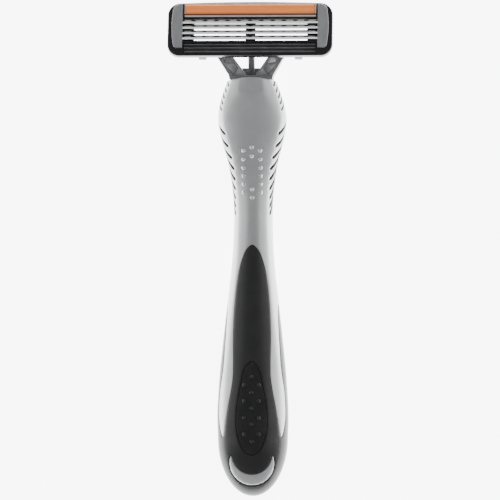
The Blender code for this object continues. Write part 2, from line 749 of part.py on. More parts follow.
def make_plunger(axis):
    """The spring-loaded rod that keeps the head turned up to its stop."""
    tip = CAM_PLACE + CAM_CONTACT - SEAM
    back = -PLUNGER_FLANGE - RUNNING
    round_from = tip - PLUNGER_TIP_RADIUS
    nose = [
        (round_from + PLUNGER_TIP_RADIUS * sin(a), PLUNGER_TIP_RADIUS * cos(a))
        for a in (0.0, pi / 6, pi / 3)
    ]
    profile = [
        (back - PLUNGER_STEM, 0),
        (back - PLUNGER_STEM, PLUNGER_STEM_RADIUS),
        (back, PLUNGER_STEM_RADIUS),
        (back, PLUNGER_FLANGE_RADIUS),
        (-RUNNING, PLUNGER_FLANGE_RADIUS),
        (-RUNNING, PLUNGER_RADIUS),
        (round_from - PLUNGER_RADIUS, PLUNGER_RADIUS),
        *nose,
        (tip, 0),
    ]
    look = material("plunger_plastic", (0.30, 0.30, 0.31), 0.4)
    finished(turned(profile), "plunger", look, axis)


def make_plunger_spring(axis):
    """A coil between the bore's floor and the plunger's flange."""
    wire = SPRING_WIRE / 2
    radius = PLUNGER_FLANGE_RADIUS - SPRING_BORE_CLEARANCE - wire
    low = -SPRING_BORE_DEPTH + SEAM + wire
    high = -PLUNGER_FLANGE - RUNNING - SEAM - wire
    data = bpy.data.curves.new("plunger_spring", "CURVE")
    data.dimensions = "3D"
    data.bevel_depth = wire
    data.bevel_resolution = 1
    data.use_fill_caps = True
    count = round(SPRING_TURNS * 12)
    line = data.splines.new("POLY")
    line.points.add(count)
    for i, point in enumerate(line.points):
        turn = 2 * pi * SPRING_TURNS * i / count
        y = between(low, high, i / count)
        point.co = (radius * cos(turn), y, radius * sin(turn), 1)
    data.materials.append(material("spring_steel", (0.55, 0.55, 0.56), 0.3, 1.0))
    spring = bpy.data.objects.new("plunger_spring", data)
    spring.parent = axis
    bpy.context.collection.objects.link(spring)


# ---- Head pieces, in the face frame


def face_point(y, z):
    """A place given from the pivot, in the world's directions, as (u, v)."""
    u = y * cos(HEAD_TILT) - z * sin(HEAD_TILT)
    v = y * sin(HEAD_TILT) + z * cos(HEAD_TILT)
    return (u + PIVOT_U, v + PIVOT_V)


def cam_profile():
    """An involute of the circle round the pivot that the plunger's axis touches.

    Pushed along that axis, it moves the plunger by the circle's radius for each radian.
    """
    along = Vector((cos(PLUNGER_SLOPE), sin(PLUNGER_SLOPE)))
    below = Vector((sin(PLUNGER_SLOPE), -cos(PLUNGER_SLOPE)))
    first, last = -HEAD_SWING * CAM_LEAD, HEAD_SWING * (1 + CAM_SPARE)
    steps = CAM_STEPS
    curve = []
    for i in range(steps + 1):
        angle = between(last, first, i / steps)
        reach = CAM_CONTACT - CAM_RADIUS * angle
        contact = below * CAM_RADIUS + along * reach
        contact.rotate(Matrix.Rotation(angle, 2))
        curve.append(face_point(*contact))
    root = HEAD_BACK + CAM_ROOT
    foot = curve[-1]
    heel = (foot[0] + CAM_BACKING, foot[1] + CAM_ROOT / 2)
    return curve + [heel, (BAY_CAP - CAM_ROOT, root), (curve[0][0] - CAM_ROOT, root)]


def head_outline():
    top = HEAD_CAP_EDGE - HEAD_CROWN
    right = [(HEAD_HALF, HEAD_GUARD_EDGE, HEAD_CORNER), (HEAD_HALF, top, HEAD_CORNER)]
    reach = HEAD_HALF - HEAD_CORNER
    for x in reversed(across(reach)):
        right.append((x, top + HEAD_CROWN * (1 - (x / HEAD_HALF) ** 2), 0))
    left = [(-x, y, r) for x, y, r in reversed(right) if x > 0]
    return filleted(right + left)


def leg_place(edge):
    """The u range of a blade support's leg."""
    outer = edge + BLADE_WIDTH * cos(BLADE_SLOPE) - WELD_GAP
    return outer - SUPPORT_THICKNESS, outer


def lug_bar(low, high):
    radius = PIN_RADIUS + RUNNING + LUG_WALL
    root = HEAD_BACK + CAM_ROOT
    outline = arc((PIVOT_U, PIVOT_V), radius, -pi, 0, 12)
    outline += [(PIVOT_U + radius, root), (PIVOT_U - radius, root)]
    return bar(outline, low, high)


def lug_hole(low, high):
    return rod(PIN_RADIUS + RUNNING, low, high, (PIVOT_U, PIVOT_V))


def x_box(low, high, y, z):
    return box((low, high), y, z)


def make_housing(head):
    housing = plate(head_outline(), HEAD_BACK, HEAD_RIM)
    over = BEYOND
    step = BAY_STEP
    cut(housing, x_box(-BAY_HALF, BAY_HALF, (BAY_GUARD, BAY_CAP), (RIB_TOP, over)))
    window = ((BAY_GUARD + step, BAY_CAP - step), (HEAD_BACK - over, -over / 2))
    rib_start = BAY_HALF - END_RIB
    cut(housing, both_sides(x_box, CENTRE_RIB_HALF, rib_start, *window))
    seat = ((BAY_GUARD + 1.5 * step, BAY_CAP - 1.5 * step), (COMB_FLOOR, -over / 2))
    cut(housing, both_sides(x_box, rib_start - step, BAY_HALF - step, *seat))
    for edge in EDGES:
        low, high = leg_place(edge)
        slot = ((low - RUNNING, high + RUNNING), (SUPPORT_FOOT - BLADE_TRAVEL - RUNNING, over))
        cut(housing, both_sides(x_box, BAY_HALF - step, BAY_HALF + TAB_REACH, *slot))
    shelf = ((BAY_CAP + TRAY_LIP, HEAD_CAP_EDGE - CAP_RIM), (TRAY_FLOOR, over))
    cut(housing, x_box(-SHELF_HALF, SHELF_HALF, *shelf))
    channel = ((HEAD_GUARD_EDGE + GUARD_RIM, BAY_GUARD - GUARD_LIP), (GUARD_FLOOR, over))
    cut(housing, x_box(-SHELF_HALF, SHELF_HALF, *channel))
    for side in (1, -1):
        cut(housing, plate(grown(end_cap_outline(side), SEAM), END_CAP_FLOOR, over))
    pocket = BOSS_OUTER_HALF + LUG_GAP / 2
    below = ((HEAD_GUARD_EDGE - over, YOKE_POCKET_U), (HEAD_BACK - over, YOKE_POCKET_TOP))
    cut(housing, x_box(-pocket, pocket, *below))
    joined(housing, both_sides(lug_bar, LUG_INNER, LUG_INNER + LUG_WIDTH))
    cut(housing, both_sides(lug_hole, BOSS_OUTER_HALF, LUG_INNER + LUG_WIDTH + step))
    joined(housing, bar(cam_profile(), -CAM_HALF_WIDTH, CAM_HALF_WIDTH))
    look = material("gloss_black", (0.010, 0.010, 0.012), 0.18)
    finished(housing, "cartridge_housing", look, head, FACE_FROM_PIVOT)


def end_cap_outline(side):
    """The end cap seen on the face: straight towards the blades, bulged outwards."""
    inner = HEAD_HALF - END_CAP_INNER
    outer = HEAD_HALF - END_CAP_OUTER
    low, high = END_CAP_GUARD, END_CAP_TOP
    corners = [(inner, low, 0), (outer - END_CAP_BULGE, low, END_CAP_LOW_CORNER)]
    for i in range(1, END_CAP_STEPS):
        share = i / (END_CAP_STEPS / 2) - 1
        bulge = END_CAP_BULGE * share**2
        corners.append((outer - bulge, between(low, high, i / END_CAP_STEPS), 0))
    corners += [(outer - END_CAP_BULGE, high, END_CAP_TOP_CORNER), (inner, high, 0)]
    return [(x * side, y) for x, y in filleted(corners)]


def make_end_cap(head, name, side):
    cap = plate(end_cap_outline(side), END_CAP_FLOOR + SEAM, END_CAP_FACE)
    half = BLADE_HALF + TAB_REACH
    over = (BAY_GUARD, BAY_CAP)
    relief = x_box(-half, half, over, (END_CAP_FLOOR - BEYOND, END_CAP_GRIP))
    cut(cap, relief)
    look = material(name + "_plastic", (0.30, 0.31, 0.31), 0.38)
    finished(cap, name, look, head, FACE_FROM_PIVOT)


def make_cap_strip(head):
    """The clear tray and the lubricating strip in it."""
    low, high = BAY_CAP + TRAY_LIP + SEAM, HEAD_CAP_EDGE - CAP_RIM - SEAM
    half = SHELF_HALF - SEAM
    tray = x_box(-half, half, (low, high), (TRAY_FLOOR + SEAM, -TRAY_RIM))
    inside = (low + TRAY_FRONT, high - TRAY_WALL)
    floor = -STRIP_DEPTH - SEAM
    cut(tray, x_box(TRAY_WALL - half, half - TRAY_WALL, inside, (floor, BEYOND)))
    finished(tray, "strip_tray", material("clear_tray", (0.62, 0.55, 0.50), 0.25), head, FACE_FROM_PIVOT)
    half -= TRAY_WALL + SEAM
    low, high = inside[0] + SEAM, inside[1] - SEAM
    crest = between(low, high, STRIP_SHOULDER), between(high, low, STRIP_SHOULDER)
    profile = [(low, -STRIP_DEPTH), (high, -STRIP_DEPTH), (high, 0), (crest[1], STRIP_CROWN)]
    profile += [(crest[0], STRIP_CROWN), (low, 0)]
    look = material("orange_strip", (0.90, 0.30, 0.11), 0.45)
    finished(bar(profile, -half, half), "lubricating_strip", look, head, FACE_FROM_PIVOT)


def make_guard(head):
    """The rubber guard: long fins across the head, ahead of the blades."""
    low = HEAD_GUARD_EDGE + GUARD_RIM + SEAM
    high = BAY_GUARD - GUARD_LIP - SEAM
    floor = GUARD_FLOOR + SEAM
    pitch = (high - low) / GUARD_FINS
    profile = [(high, floor), (low, floor)]
    for i in range(GUARD_FINS):
        start = low + pitch * i
        profile += [
            (start + pitch * FIN_FOOT[0], GUARD_VALLEY),
            (start + pitch * FIN_CREST[0], GUARD_TOP),
            (start + pitch * FIN_CREST[1], GUARD_TOP),
            (start + pitch * FIN_FOOT[1], GUARD_VALLEY),
        ]
    half = SHELF_HALF - SEAM
    look = material("guard_rubber", (0.014, 0.014, 0.016), 0.6)
    finished(bar(profile, -half, half), "guard_fins", look, head, FACE_FROM_PIVOT)


def make_blade(head, number, edge):
    """One blade, ground to a wedge, and the bent support that it is welded to."""
    half = BLADE_THICKNESS / 2
    profile = [(0, 0), (BLADE_BEVEL, half), (BLADE_WIDTH, half), (BLADE_WIDTH, -half), (BLADE_BEVEL, -half)]
    steel = material(f"blade_steel_{number}", (0.75, 0.76, 0.77), 0.25, 1.0)
    place = FACE_FROM_PIVOT + Vector((0, edge, 0))
    finished(bar(profile, -BLADE_HALF, BLADE_HALF), f"blade_{number}", steel, head, place, -BLADE_SLOPE)

    low, high = (u - edge for u in leg_place(edge))
    top = -half - WELD_GAP
    flange = [
        (SUPPORT_START, top),
        (SUPPORT_END, top),
        (SUPPORT_END, top - SUPPORT_THICKNESS),
        (SUPPORT_START, top - SUPPORT_THICKNESS),
    ]
    support = moved(bar(flange, -BLADE_HALF, BLADE_HALF), turn_x=-BLADE_SLOPE)
    leg_top = (top - SEAM) / cos(BLADE_SLOPE) - high * tan(BLADE_SLOPE)
    inner = BLADE_HALF - SUPPORT_INSET
    joined(support, x_box(-inner, inner, (low, high), (SUPPORT_FOOT, leg_top)))
    tab = BLADE_HALF + TAB_REACH - BLADE_SIDE_GAP
    joined(support, x_box(-tab, tab, (low + WELD_GAP, high - WELD_GAP), (SUPPORT_FOOT + WELD_GAP, TAB_TOP)))
    steel = material(f"support_steel_{number}", (0.42, 0.42, 0.43), 0.35, 1.0)
    finished(support, f"blade_support_{number}", steel, head, place)


def make_comb(head, name, side):
    """The plastic comb under the blades' ends: one springy finger for each blade."""
    start, end = BAY_HALF - END_RIB, BAY_HALF - 2 * BAY_STEP
    span = (start, end) if side > 0 else (-end, -start)
    floor = COMB_FLOOR + SEAM
    comb = x_box(*span, (BAY_GUARD + 2 * BAY_STEP, BAY_CAP - 2 * BAY_STEP), (floor, floor + COMB_THICKNESS))
    inset = span[0] + COMB_FINGER_INSET, span[1] - COMB_FINGER_INSET
    for edge in EDGES:
        low, high = leg_place(edge)
        tip = SUPPORT_FOOT - SEAM
        root = floor + COMB_THICKNESS / 2
        finger = [
            (low - COMB_FINGER_RUN, root),
            (low - COMB_FINGER_RUN + COMB_FINGER_ROOT, root),
            (high, tip - COMB_THICKNESS),
            (high, tip),
            (low, tip),
        ]
        joined(comb, bar(finger, *inset))
    finished(comb, name, material(name + "_plastic", (0.05, 0.05, 0.05), 0.5), head, FACE_FROM_PIVOT)


def main():
    for old in list(bpy.data.objects):
        bpy.data.objects.remove(old)
    head = empty("head_pivot", PIVOT, -HEAD_TILT)
    axis = empty("plunger_axis", PLUNGER_START, PLUNGER_SLOPE)
    make_handle_body()
    make_grip()
    make_yoke()
    make_plunger(axis)
    make_plunger_spring(axis)
    make_housing(head)
    make_cap_strip(head)
    make_guard(head)
    for name, side in (("right", 1), ("left", -1)):
        make_end_cap(head, f"end_cap_{name}", side)
        make_comb(head, f"spring_comb_{name}", side)
    for i, edge in enumerate(EDGES):
        make_blade(head, i + 1, edge)


main()
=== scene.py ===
"""A cartridge razor on its back: a pivoting four-blade head, a forked yoke, a rubber-gripped handle."""

import json
from math import cos, pi, radians, sin, sqrt, tan

import bmesh
import bpy
import numpy as np
from bpy.props import FloatProperty, FloatVectorProperty, IntProperty, PointerProperty
from mathutils import Matrix, Vector
from mathutils.geometry import delaunay_2d_cdt
from mathutils.kdtree import KDTree


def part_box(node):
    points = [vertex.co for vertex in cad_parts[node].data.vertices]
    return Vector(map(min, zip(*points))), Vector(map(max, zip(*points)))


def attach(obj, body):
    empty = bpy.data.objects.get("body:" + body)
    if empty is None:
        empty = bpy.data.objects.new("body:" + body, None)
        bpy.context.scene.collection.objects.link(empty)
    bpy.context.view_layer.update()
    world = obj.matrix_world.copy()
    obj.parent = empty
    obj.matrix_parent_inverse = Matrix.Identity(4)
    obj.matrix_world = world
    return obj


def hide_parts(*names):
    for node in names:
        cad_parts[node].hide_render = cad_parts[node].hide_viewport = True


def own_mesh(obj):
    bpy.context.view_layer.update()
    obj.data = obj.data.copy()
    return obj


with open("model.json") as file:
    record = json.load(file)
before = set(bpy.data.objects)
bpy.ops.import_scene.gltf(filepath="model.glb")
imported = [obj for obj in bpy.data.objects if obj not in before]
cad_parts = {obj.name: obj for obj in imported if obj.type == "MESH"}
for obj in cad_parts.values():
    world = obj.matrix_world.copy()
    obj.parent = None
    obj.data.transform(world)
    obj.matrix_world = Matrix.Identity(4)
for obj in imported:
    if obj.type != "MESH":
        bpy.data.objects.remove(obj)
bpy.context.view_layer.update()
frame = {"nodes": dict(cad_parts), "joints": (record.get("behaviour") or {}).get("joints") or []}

bl_info = {
    "name": "Cartridge razor",
    "version": (1, 0, 0),
    "blender": (4, 5, 0),
    "location": "View3D > Sidebar > Razor",
    "description": "Builds a cartridge razor with a pivoting four-blade head",
    "category": "Add Mesh",
}

MM = 0.001

# The seam between two moulded pieces, the gap of pieces that turn or slide, the rounding of
# the rubber's edges, and how far a seam's wall leans, all in millimetres
SEAM, RUNNING = 0.05, 0.1
ROLL = 0.14
WALL = 0.03

# The handle's form, in millimetres: x across, y from tail to head, z up from the table
HANDLE_LENGTH = 111.7
TAIL_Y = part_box("grip_overmould")[0].y / MM
JOINT_Y = TAIL_Y + HANDLE_LENGTH
GRIP_HALF, NECK_HALF, SHOULDER_HALF, JOINT_HALF = 9.6, 5.2, 9.2, 6.5
GRIP_DEPTH, NECK_DEPTH, JOINT_FRONT, JOINT_BACK = 14.2, 10.0, 17.9, 9.0
TAIL_LENGTH, TAIL_HEIGHT, TAIL_RUN = 15.8, 6.0, 19.2
TAIL_END = TAIL_Y + TAIL_LENGTH
BACK_LAND = 0.35
JOINT_ARCH = 0.9
FRONT_POWER, BACK_POWER = 2.3, 3.0
SPREAD = 1.25  # how wide the unrolled skin is drawn, against the handle's half width
PAST_BACK = 2.4  # a turn that lies past the middle of the back

# Share of the handle's length, then how far the width and the depth have gone from the
# neck's to the grip's, and from the neck's to the shoulder's width, joint's back and front.
GRIP_STATIONS = (
    (0.141, 0.966, 0.95), (0.197, 1.0, 1.0), (0.286, 0.875, 0.95), (0.381, 0.636, 0.71),
    (0.476, 0.364, 0.43), (0.571, 0.118, 0.14), (0.662, 0.0, 0.0),
)
SHOULDER_STATIONS = (
    (0.714, 0.025, 0.02, 0.025), (0.762, 0.163, 0.09, 0.10), (0.810, 0.402, 0.19, 0.25),
    (0.858, 0.766, 0.355, 0.456), (0.910, 1.0, 0.53, 0.684),
)
JOINT_STATIONS = ((0.953, 0.71, 0.755, 0.861), (1.0, 0.0, 1.0, 1.0))

# Rubber on the handle: half widths and insets at shares of the handle's length
RUBBER_DEPTH, PAD_DEPTH, REST_DEPTH = 1.0, 0.6, 0.9
GRIP_TOP = 0.52
TONGUE = (
    (0.607, 0.0), (0.595, 1.6), (0.560, 3.2), (0.526, 4.0), (0.476, 4.67), (0.426, 5.0),
    (0.381, 5.1), (0.321, 5.0), (0.288, 5.1), (0.255, 5.65), (0.221, 6.4), (0.188, 7.0),
    (0.155, 7.5),
)
STRIPE_FOOT = (0.1445, 7.82)
STRIPE_INSET = (
    (0.151, 1.26), (0.188, 0.70), (0.221, 0.60), (0.255, 0.65), (0.288, 0.93), (0.321, 1.04),
    (0.354, 0.90), (0.405, 0.65), (0.450, 0.30), (0.466, 0.0),
)
PAD = (
    (0.328, 0.0), (0.318, 1.3), (0.296, 2.35), (0.271, 2.95), (0.238, 3.66), (0.205, 4.10),
    (0.172, 4.15), (0.149, 3.80), (0.129, 3.10), (0.112, 2.10), (0.102, 0.0),
)
CRESCENT_TIPS, CRESCENT_TIP_HALF, CRESCENT_TIP = 0.0976, 5.8, 0.3
CRESCENT_INNER_SAG, CRESCENT_OUTER_SAG = 4.8, 7.7
REST_BOTTOM, REST_TOP = 0.622, 0.930
REST_EDGE_BOTTOM, REST_EDGE_TOP = 4.2, 9.6
REST_CORNER, REST_OVERLAP = 1.2, 0.12  # where its edge starts to turn in, and a turn past it
RIBS, RIB_FIRST, RIB_PITCH, RIB_GROWTH = 9, 0.6786, 2.0, 0.0875
RIB_THICKNESS, RIB_SLOPE, RIB_INSET, RIB_INNER_HALF = 0.80, radians(33.5), 1.3, 4.8
RIB_REACH = 0.25  # how far the ribs run on over the front
GROOVES, GROOVE_FIRST, GROOVE_PITCH = 5, 0.928, 1.6
GROOVE_WIDTH, GROOVE_INSET, GROOVE_SLOPE = 0.75, 1.2, 0.06
LEDGE_Y, LEDGE_HALF, LEDGE_SAG = 42.0, 3.3, 0.35
LEDGE_RISE, LEDGE_DEPTH, LEDGE_FADE = 0.16, 0.10, 0.8

# Raised dots, as (x, y) rows
NECK_DOT_X = 2.25
NECK_DOTS_MIDDLE = (27.66, 25.24, 16.33, 14.18)
NECK_DOTS_SIDE = (26.73, 24.37, 22.08, 19.92, 17.74, 15.53)
PAD_DOT_X = 1.94
PAD_DOTS_MIDDLE = (-34.05, -38.22, -42.37, -46.68, -51.2)
PAD_DOTS_SIDE = (-36.18, -40.43, -44.95, -49.34)

DOT_SINK = 0.02  # how deep a dot's middle lies under the skin

# The yoke: half widths across it, heights over the table, and reaches past the joint
YOKE_HALF, YOKE_WAIST_HALF, ARM_OUTER_HALF, ARM_INNER_HALF, CROTCH_HALF = 5.7, 6.0, 9.1, 3.9, 1.2
YOKE_WAIST, CROTCH_REACH, ARM_KNEE, ARM_REACH, BOSS_REACH, YOKE_REACH = 1.5, 4.0, 5.5, 6.5, 6.675, 10.6
YOKE_BACK, ARM_KNEE_HEIGHT, YOKE_FRONT = 10.0, 13.9, 17.1
POCKET_HALF, POCKET_REACH, POCKET_FLOOR = 4.9, 1.4, 12.0
PLUG_HALF, PLUG_HALF_DEPTH, PLUG_LENGTH = 4.0, 2.2, 8.5
PIN_REACH = 13.6

# Lines sunk in the yoke's right arm, as (x, rise over the joint)
YOKE_RELIEF = (
    ((6.1, 3.4), (4.67, 1.6), (3.4, 3.2), (4.15, 4.3)),
    ((5.8, 6.6), (4.2, 4.4), (7.1, 4.8), (6.25, 6.6)),
    ((8.1, 6.3), (7.74, 5.7), (7.1, 6.3)),
)


# ---- The handle's form


def handle_y(share):
    """The y at this share of the handle's length."""
    return TAIL_Y + HANDLE_LENGTH * share


def stations():
    """Rows of (y, half width, back height, front height) down the handle."""
    rows = []
    for share, width, depth in GRIP_STATIONS:
        half = NECK_HALF + (GRIP_HALF - NECK_HALF) * width
        rows.append((handle_y(share), half, 0.0, NECK_DEPTH + (GRIP_DEPTH - NECK_DEPTH) * depth))
    for start, part in ((NECK_HALF, SHOULDER_STATIONS), (JOINT_HALF, JOINT_STATIONS)):
        for share, width, back, front in part:
            half = start + (SHOULDER_HALF - start) * width
            rise = NECK_DEPTH + (JOINT_FRONT - NECK_DEPTH) * front
            rows.append((handle_y(share), half, JOINT_BACK * back, rise))
    return np.array(rows)


ROWS = stations()


def section(run):
    """(y, half width, back, front) at this run of the skin; below the tail's end it follows the curve."""
    run = np.asarray(run, float)
    turn = np.clip((TAIL_END - run) / TAIL_RUN, 0, 1) * pi / 2
    at = np.maximum(run, TAIL_END)
    last = len(ROWS) - 1
    i = np.clip(np.searchsorted(ROWS[:, 0], at, side="right") - 1, 0, last - 1)
    low, high = ROWS[i], ROWS[i + 1]
    before, after = ROWS[np.maximum(i - 1, 0)], ROWS[np.minimum(i + 2, last)]
    span = high[..., :1] - low[..., :1]
    t = np.clip((at[..., None] - low[..., :1]) / span, 0, 1)
    slope_low = (high - before) / (high[..., :1] - before[..., :1]) * span
    slope_high = (after - low) / (after[..., :1] - low[..., :1]) * span
    found = (
        low * (2 * t**3 - 3 * t**2 + 1) + high * (3 * t**2 - 2 * t**3)
        + slope_low * (t**3 - 2 * t**2 + t) + slope_high * (t**3 - t**2)
    )
    share = np.cos(turn)
    y = np.where(turn > 0, TAIL_END - TAIL_LENGTH * np.sin(turn), run)
    half = found[..., 1] * share
    back = TAIL_HEIGHT + (found[..., 2] - BACK_LAND - TAIL_HEIGHT) * share
    front = TAIL_HEIGHT + (found[..., 3] - TAIL_HEIGHT) * share
    return y, half, back, front


def form(turn, run):
    """Points of the handle's outside: turn is 0 along the front, 1 at the sides, 2 along the back."""
    y, half, back, front = section(run)
    middle = (back + front) / 2
    angle = np.asarray(turn) * pi / 2
    over = np.cos(angle) >= 0
    power = np.where(over, 2 / FRONT_POWER, 2 / BACK_POWER)
    x = half * np.sign(np.sin(angle)) * np.abs(np.sin(angle)) ** power
    reach = np.where(over, front - middle, back - middle)
    z = middle + reach * np.abs(np.cos(angle)) ** power
    return np.stack([x, y, np.maximum(z, 0)], axis=-1)


def facing(turn, run):
    """Outward normals there."""
    step = 1e-3
    across = form(turn + step, run) - form(turn - step, run)
    along = form(turn, run + step) - form(turn, run - step)
    normal = np.cross(across, along)
    return normal / np.maximum(np.linalg.norm(normal, axis=-1, keepdims=True), 1e-12)


def turn_of(flat):
    """The turn of points drawn on the unrolled skin as (x, run)."""
    half = np.maximum(section(flat[..., 1])[1], 1e-9)
    return np.clip(flat[..., 0] / (SPREAD * half), -2.0, 2.0)


def skin(flat, inset=0.0):
    """Places in millimetres of unrolled points, this far under the surface."""
    turn = turn_of(flat)
    depth = np.asarray(inset, float)[..., None]
    return form(turn, flat[..., 1]) - facing(turn, flat[..., 1]) * depth


def flat_from(turn, run):
    """The unrolled place of a turn and a run."""
    return np.stack([turn * SPREAD * section(run)[1], np.asarray(run, float)], axis=-1)


def run_of(y):
    """The skin's run at this y."""
    share = np.clip((TAIL_END - np.asarray(y, float)) / TAIL_LENGTH, 0, 1)
    return np.where(share > 0, TAIL_END - np.arcsin(share) * 2 / pi * TAIL_RUN, y)


def flat_front(plan):
    """Unrolled points of an (x, y) drawing seen from the front."""
    plan = np.asarray(plan, float)
    run = run_of(plan[:, 1])
    half = np.maximum(section(run)[1], 1e-9)
    share = np.clip(np.abs(plan[:, 0]) / half, 0, 1) ** (FRONT_POWER / 2)
    return flat_from(np.sign(plan[:, 0]) * np.arcsin(share) * 2 / pi, run)


def side_turn(run, z):
    """The turn at which the surface is this high."""
    _, _, back, front = section(run)
    middle = (back + front) / 2
    over = np.clip((z - middle) / (front - middle), 0, 1) ** (FRONT_POWER / 2)
    under = np.clip((middle - z) / (middle - back), 0, 1) ** (BACK_POWER / 2)
    return np.where(z >= middle, np.arccos(over) * 2 / pi, 2 - np.arccos(under) * 2 / pi)


# ---- Lines on the unrolled skin


def spaced(line, step):
    """The line with its points this far apart."""
    line = np.asarray(line, float)
    gaps = np.linalg.norm(np.diff(line, axis=0), axis=1)
    line = line[np.concatenate([[True], gaps > 1e-9])]
    gone = np.concatenate([[0], np.cumsum(np.linalg.norm(np.diff(line, axis=0), axis=1))])
    at = np.linspace(0, gone[-1], max(int(round(gone[-1] / step)), 1) + 1)
    return np.stack([np.interp(at, gone, line[:, k]) for k in range(line.shape[1])], axis=1)


def curved(points, step=0.3, closed=False):
    """A smooth line through the points."""
    p = np.asarray(points, float)
    ends = (p[-2:-1], p[1:2]) if closed else (2 * p[0] - p[1], 2 * p[-1] - p[-2])
    p = np.vstack([ends[0], p, ends[1]])
    found = []
    for a, b, c, d in zip(p, p[1:], p[2:], p[3:]):
        k = [np.linalg.norm(q - r) ** 0.5 + 1e-9 for q, r in ((b, a), (c, b), (d, c))]
        at = np.linspace(0, 1, 17)[:-1, None]
        out = ((b - a) / k[0] - (c - a) / (k[0] + k[1]) + (c - b) / k[1]) * k[1]
        into = ((c - b) / k[1] - (d - b) / (k[1] + k[2]) + (d - c) / k[2]) * k[1]
        found.append(
            b * (2 * at**3 - 3 * at**2 + 1) + out * (at**3 - 2 * at**2 + at)
            + c * (3 * at**2 - 2 * at**3) + into * (at**3 - at**2)
        )
    found.append(p[-2:-1])
    return spaced(np.vstack(found), step)


def mirrored(line):
    """The line on the other side, running the other way."""
    return np.asarray(line)[::-1] * (-1, 1)


def shifted(line, by):
    """The line moved sideways, to its left."""
    way = np.gradient(line, axis=0)
    if np.allclose(line[0], line[-1]):
        way[0] = way[-1] = line[1] - line[-2]
    way /= np.maximum(np.linalg.norm(way, axis=1, keepdims=True), 1e-12)
    return line + np.stack([-way[:, 1], way[:, 0]], axis=1) * by


def depth_inside(points, loop, within=1.2):
    """How far inside a closed loop the points are, up to `within`; outside is negative."""
    result = np.full(len(points), -within)
    box_low, box_high = loop.min(0) - within, loop.max(0) + within
    near = np.flatnonzero(((points > box_low) & (points < box_high)).all(axis=1))
    a, b = loop[:-1], loop[1:]
    edge = b - a
    size = np.maximum((edge**2).sum(1), 1e-18)
    for part in np.array_split(near, max(len(near) * len(a) // 4_000_000, 1)):
        p = points[part]
        if not len(p):
            continue
        gap = p[:, None] - a
        t = np.clip((gap * edge).sum(2) / size, 0, 1)
        far = np.sqrt((((gap - t[..., None] * edge) ** 2).sum(2)).min(1))
        crosses = (a[:, 1] > p[:, 1:2]) != (b[:, 1] > p[:, 1:2])
        run = np.where(np.abs(edge[:, 1]) < 1e-12, 1e-12, edge[:, 1])
        at = a[:, 0] + (p[:, 1:2] - a[:, 1]) * edge[:, 0] / run
        odd = (crosses & (p[:, :1] < at)).sum(1) % 2 == 1
        result[part] = np.where(odd, 1, -1) * np.minimum(far, within)
    return result


def way_round(loop):
    """1 for a closed loop that runs anticlockwise, otherwise -1."""
    x, y = loop.T
    return 1 if np.sum(x[:-1] * y[1:] - x[1:] * y[:-1]) > 0 else -1


class Zone:
    """Closed loops on the unrolled skin: a point is in the zone where it is in any of them."""

    def __init__(self, *loops):
        self.loops = [l if np.allclose(l[0], l[-1]) else np.vstack([l, l[:1]]) for l in loops]
        self.ways = [way_round(loop) for loop in self.loops]

    def depth(self, points):
        return np.max([depth_inside(points, loop) for loop in self.loops], axis=0)

    def lines(self, *insets):
        """The loops moved into the zone by these amounts."""
        return [shifted(l, way * by) for l, way in zip(self.loops, self.ways) for by in insets]


# ---- Zones of the handle's skin

FAR = 70.0  # a loop that passes the middle of the back closes this far off the skin
LINE_STEP = 0.3
SKIN_STEP = 0.5
SKIN_PAST = 1.2  # how far the skin is drawn past the joint, to be closed at its arched end


def grip_loop():
    """The edge of the grip's rubber: tongue, side stripes, the sides, and across the back."""
    right = [(half, handle_y(share)) for share, half in TONGUE[1:]]
    right.append((STRIPE_FOOT[1], handle_y(STRIPE_FOOT[0])))
    for share, inset in STRIPE_INSET:
        y = handle_y(share)
        right.append((float(section(y)[1]) - inset, y))
    left = [(-x, y) for x, y in reversed(right)]
    front = curved(left + [(0, handle_y(TONGUE[0][0]))] + right, LINE_STEP)
    top = handle_y(GRIP_TOP)
    corner = [(1.0, -2.2), (1.0, -1.1), (1.02, -0.5), (1.08, -0.12), (1.18, 0.0), (1.5, 0.0)]
    side = curved([flat_from(turn, top + y) for turn, y in [*corner, (PAST_BACK, 0.0)]], LINE_STEP)
    far = [(FAR, top), (FAR, TAIL_Y - FAR), (-FAR, TAIL_Y - FAR), (-FAR, top)]
    return np.vstack([flat_front(front), side, far, mirrored(side)])


def crescent_loop():
    """The bright crescent under the pad, between two arcs that hang from the same tips."""
    def hanging(half, sag):
        radius = (half**2 + sag**2) / (2 * sag)
        middle = handle_y(CRESCENT_TIPS) - sag + radius
        start = np.arctan2(handle_y(CRESCENT_TIPS) - middle, half)
        turn = np.linspace(start, -pi - start, 60)
        return np.stack([radius * np.cos(turn), middle + radius * np.sin(turn)], axis=1)

    outer = hanging(CRESCENT_TIP_HALF, CRESCENT_OUTER_SAG)
    inner = hanging(CRESCENT_TIP_HALF - CRESCENT_TIP, CRESCENT_INNER_SAG)[::-1]
    tip = [(CRESCENT_TIP_HALF - CRESCENT_TIP / 2, handle_y(CRESCENT_TIPS) + CRESCENT_TIP / 2)]
    outline = np.vstack([outer, np.multiply(tip, (-1, 1)), inner, tip])
    return flat_front(curved(outline, LINE_STEP, closed=True))


def pad_loop():
    """The teardrop edge of the palm pad."""
    right = [(half, handle_y(share)) for share, half in PAD[1:-1]]
    left = [(-x, y) for x, y in reversed(right)]
    tip, foot = (0, handle_y(PAD[0][0])), (0, handle_y(PAD[-1][0]))
    return flat_front(curved([tip, *right, foot, *left], LINE_STEP, closed=True))


def rest_edge(y):
    """How high over the table the finger rest's edge is here."""
    share = (y - handle_y(REST_BOTTOM)) / (handle_y(REST_TOP) - handle_y(REST_BOTTOM))
    return REST_EDGE_BOTTOM + (REST_EDGE_TOP - REST_EDGE_BOTTOM) * share


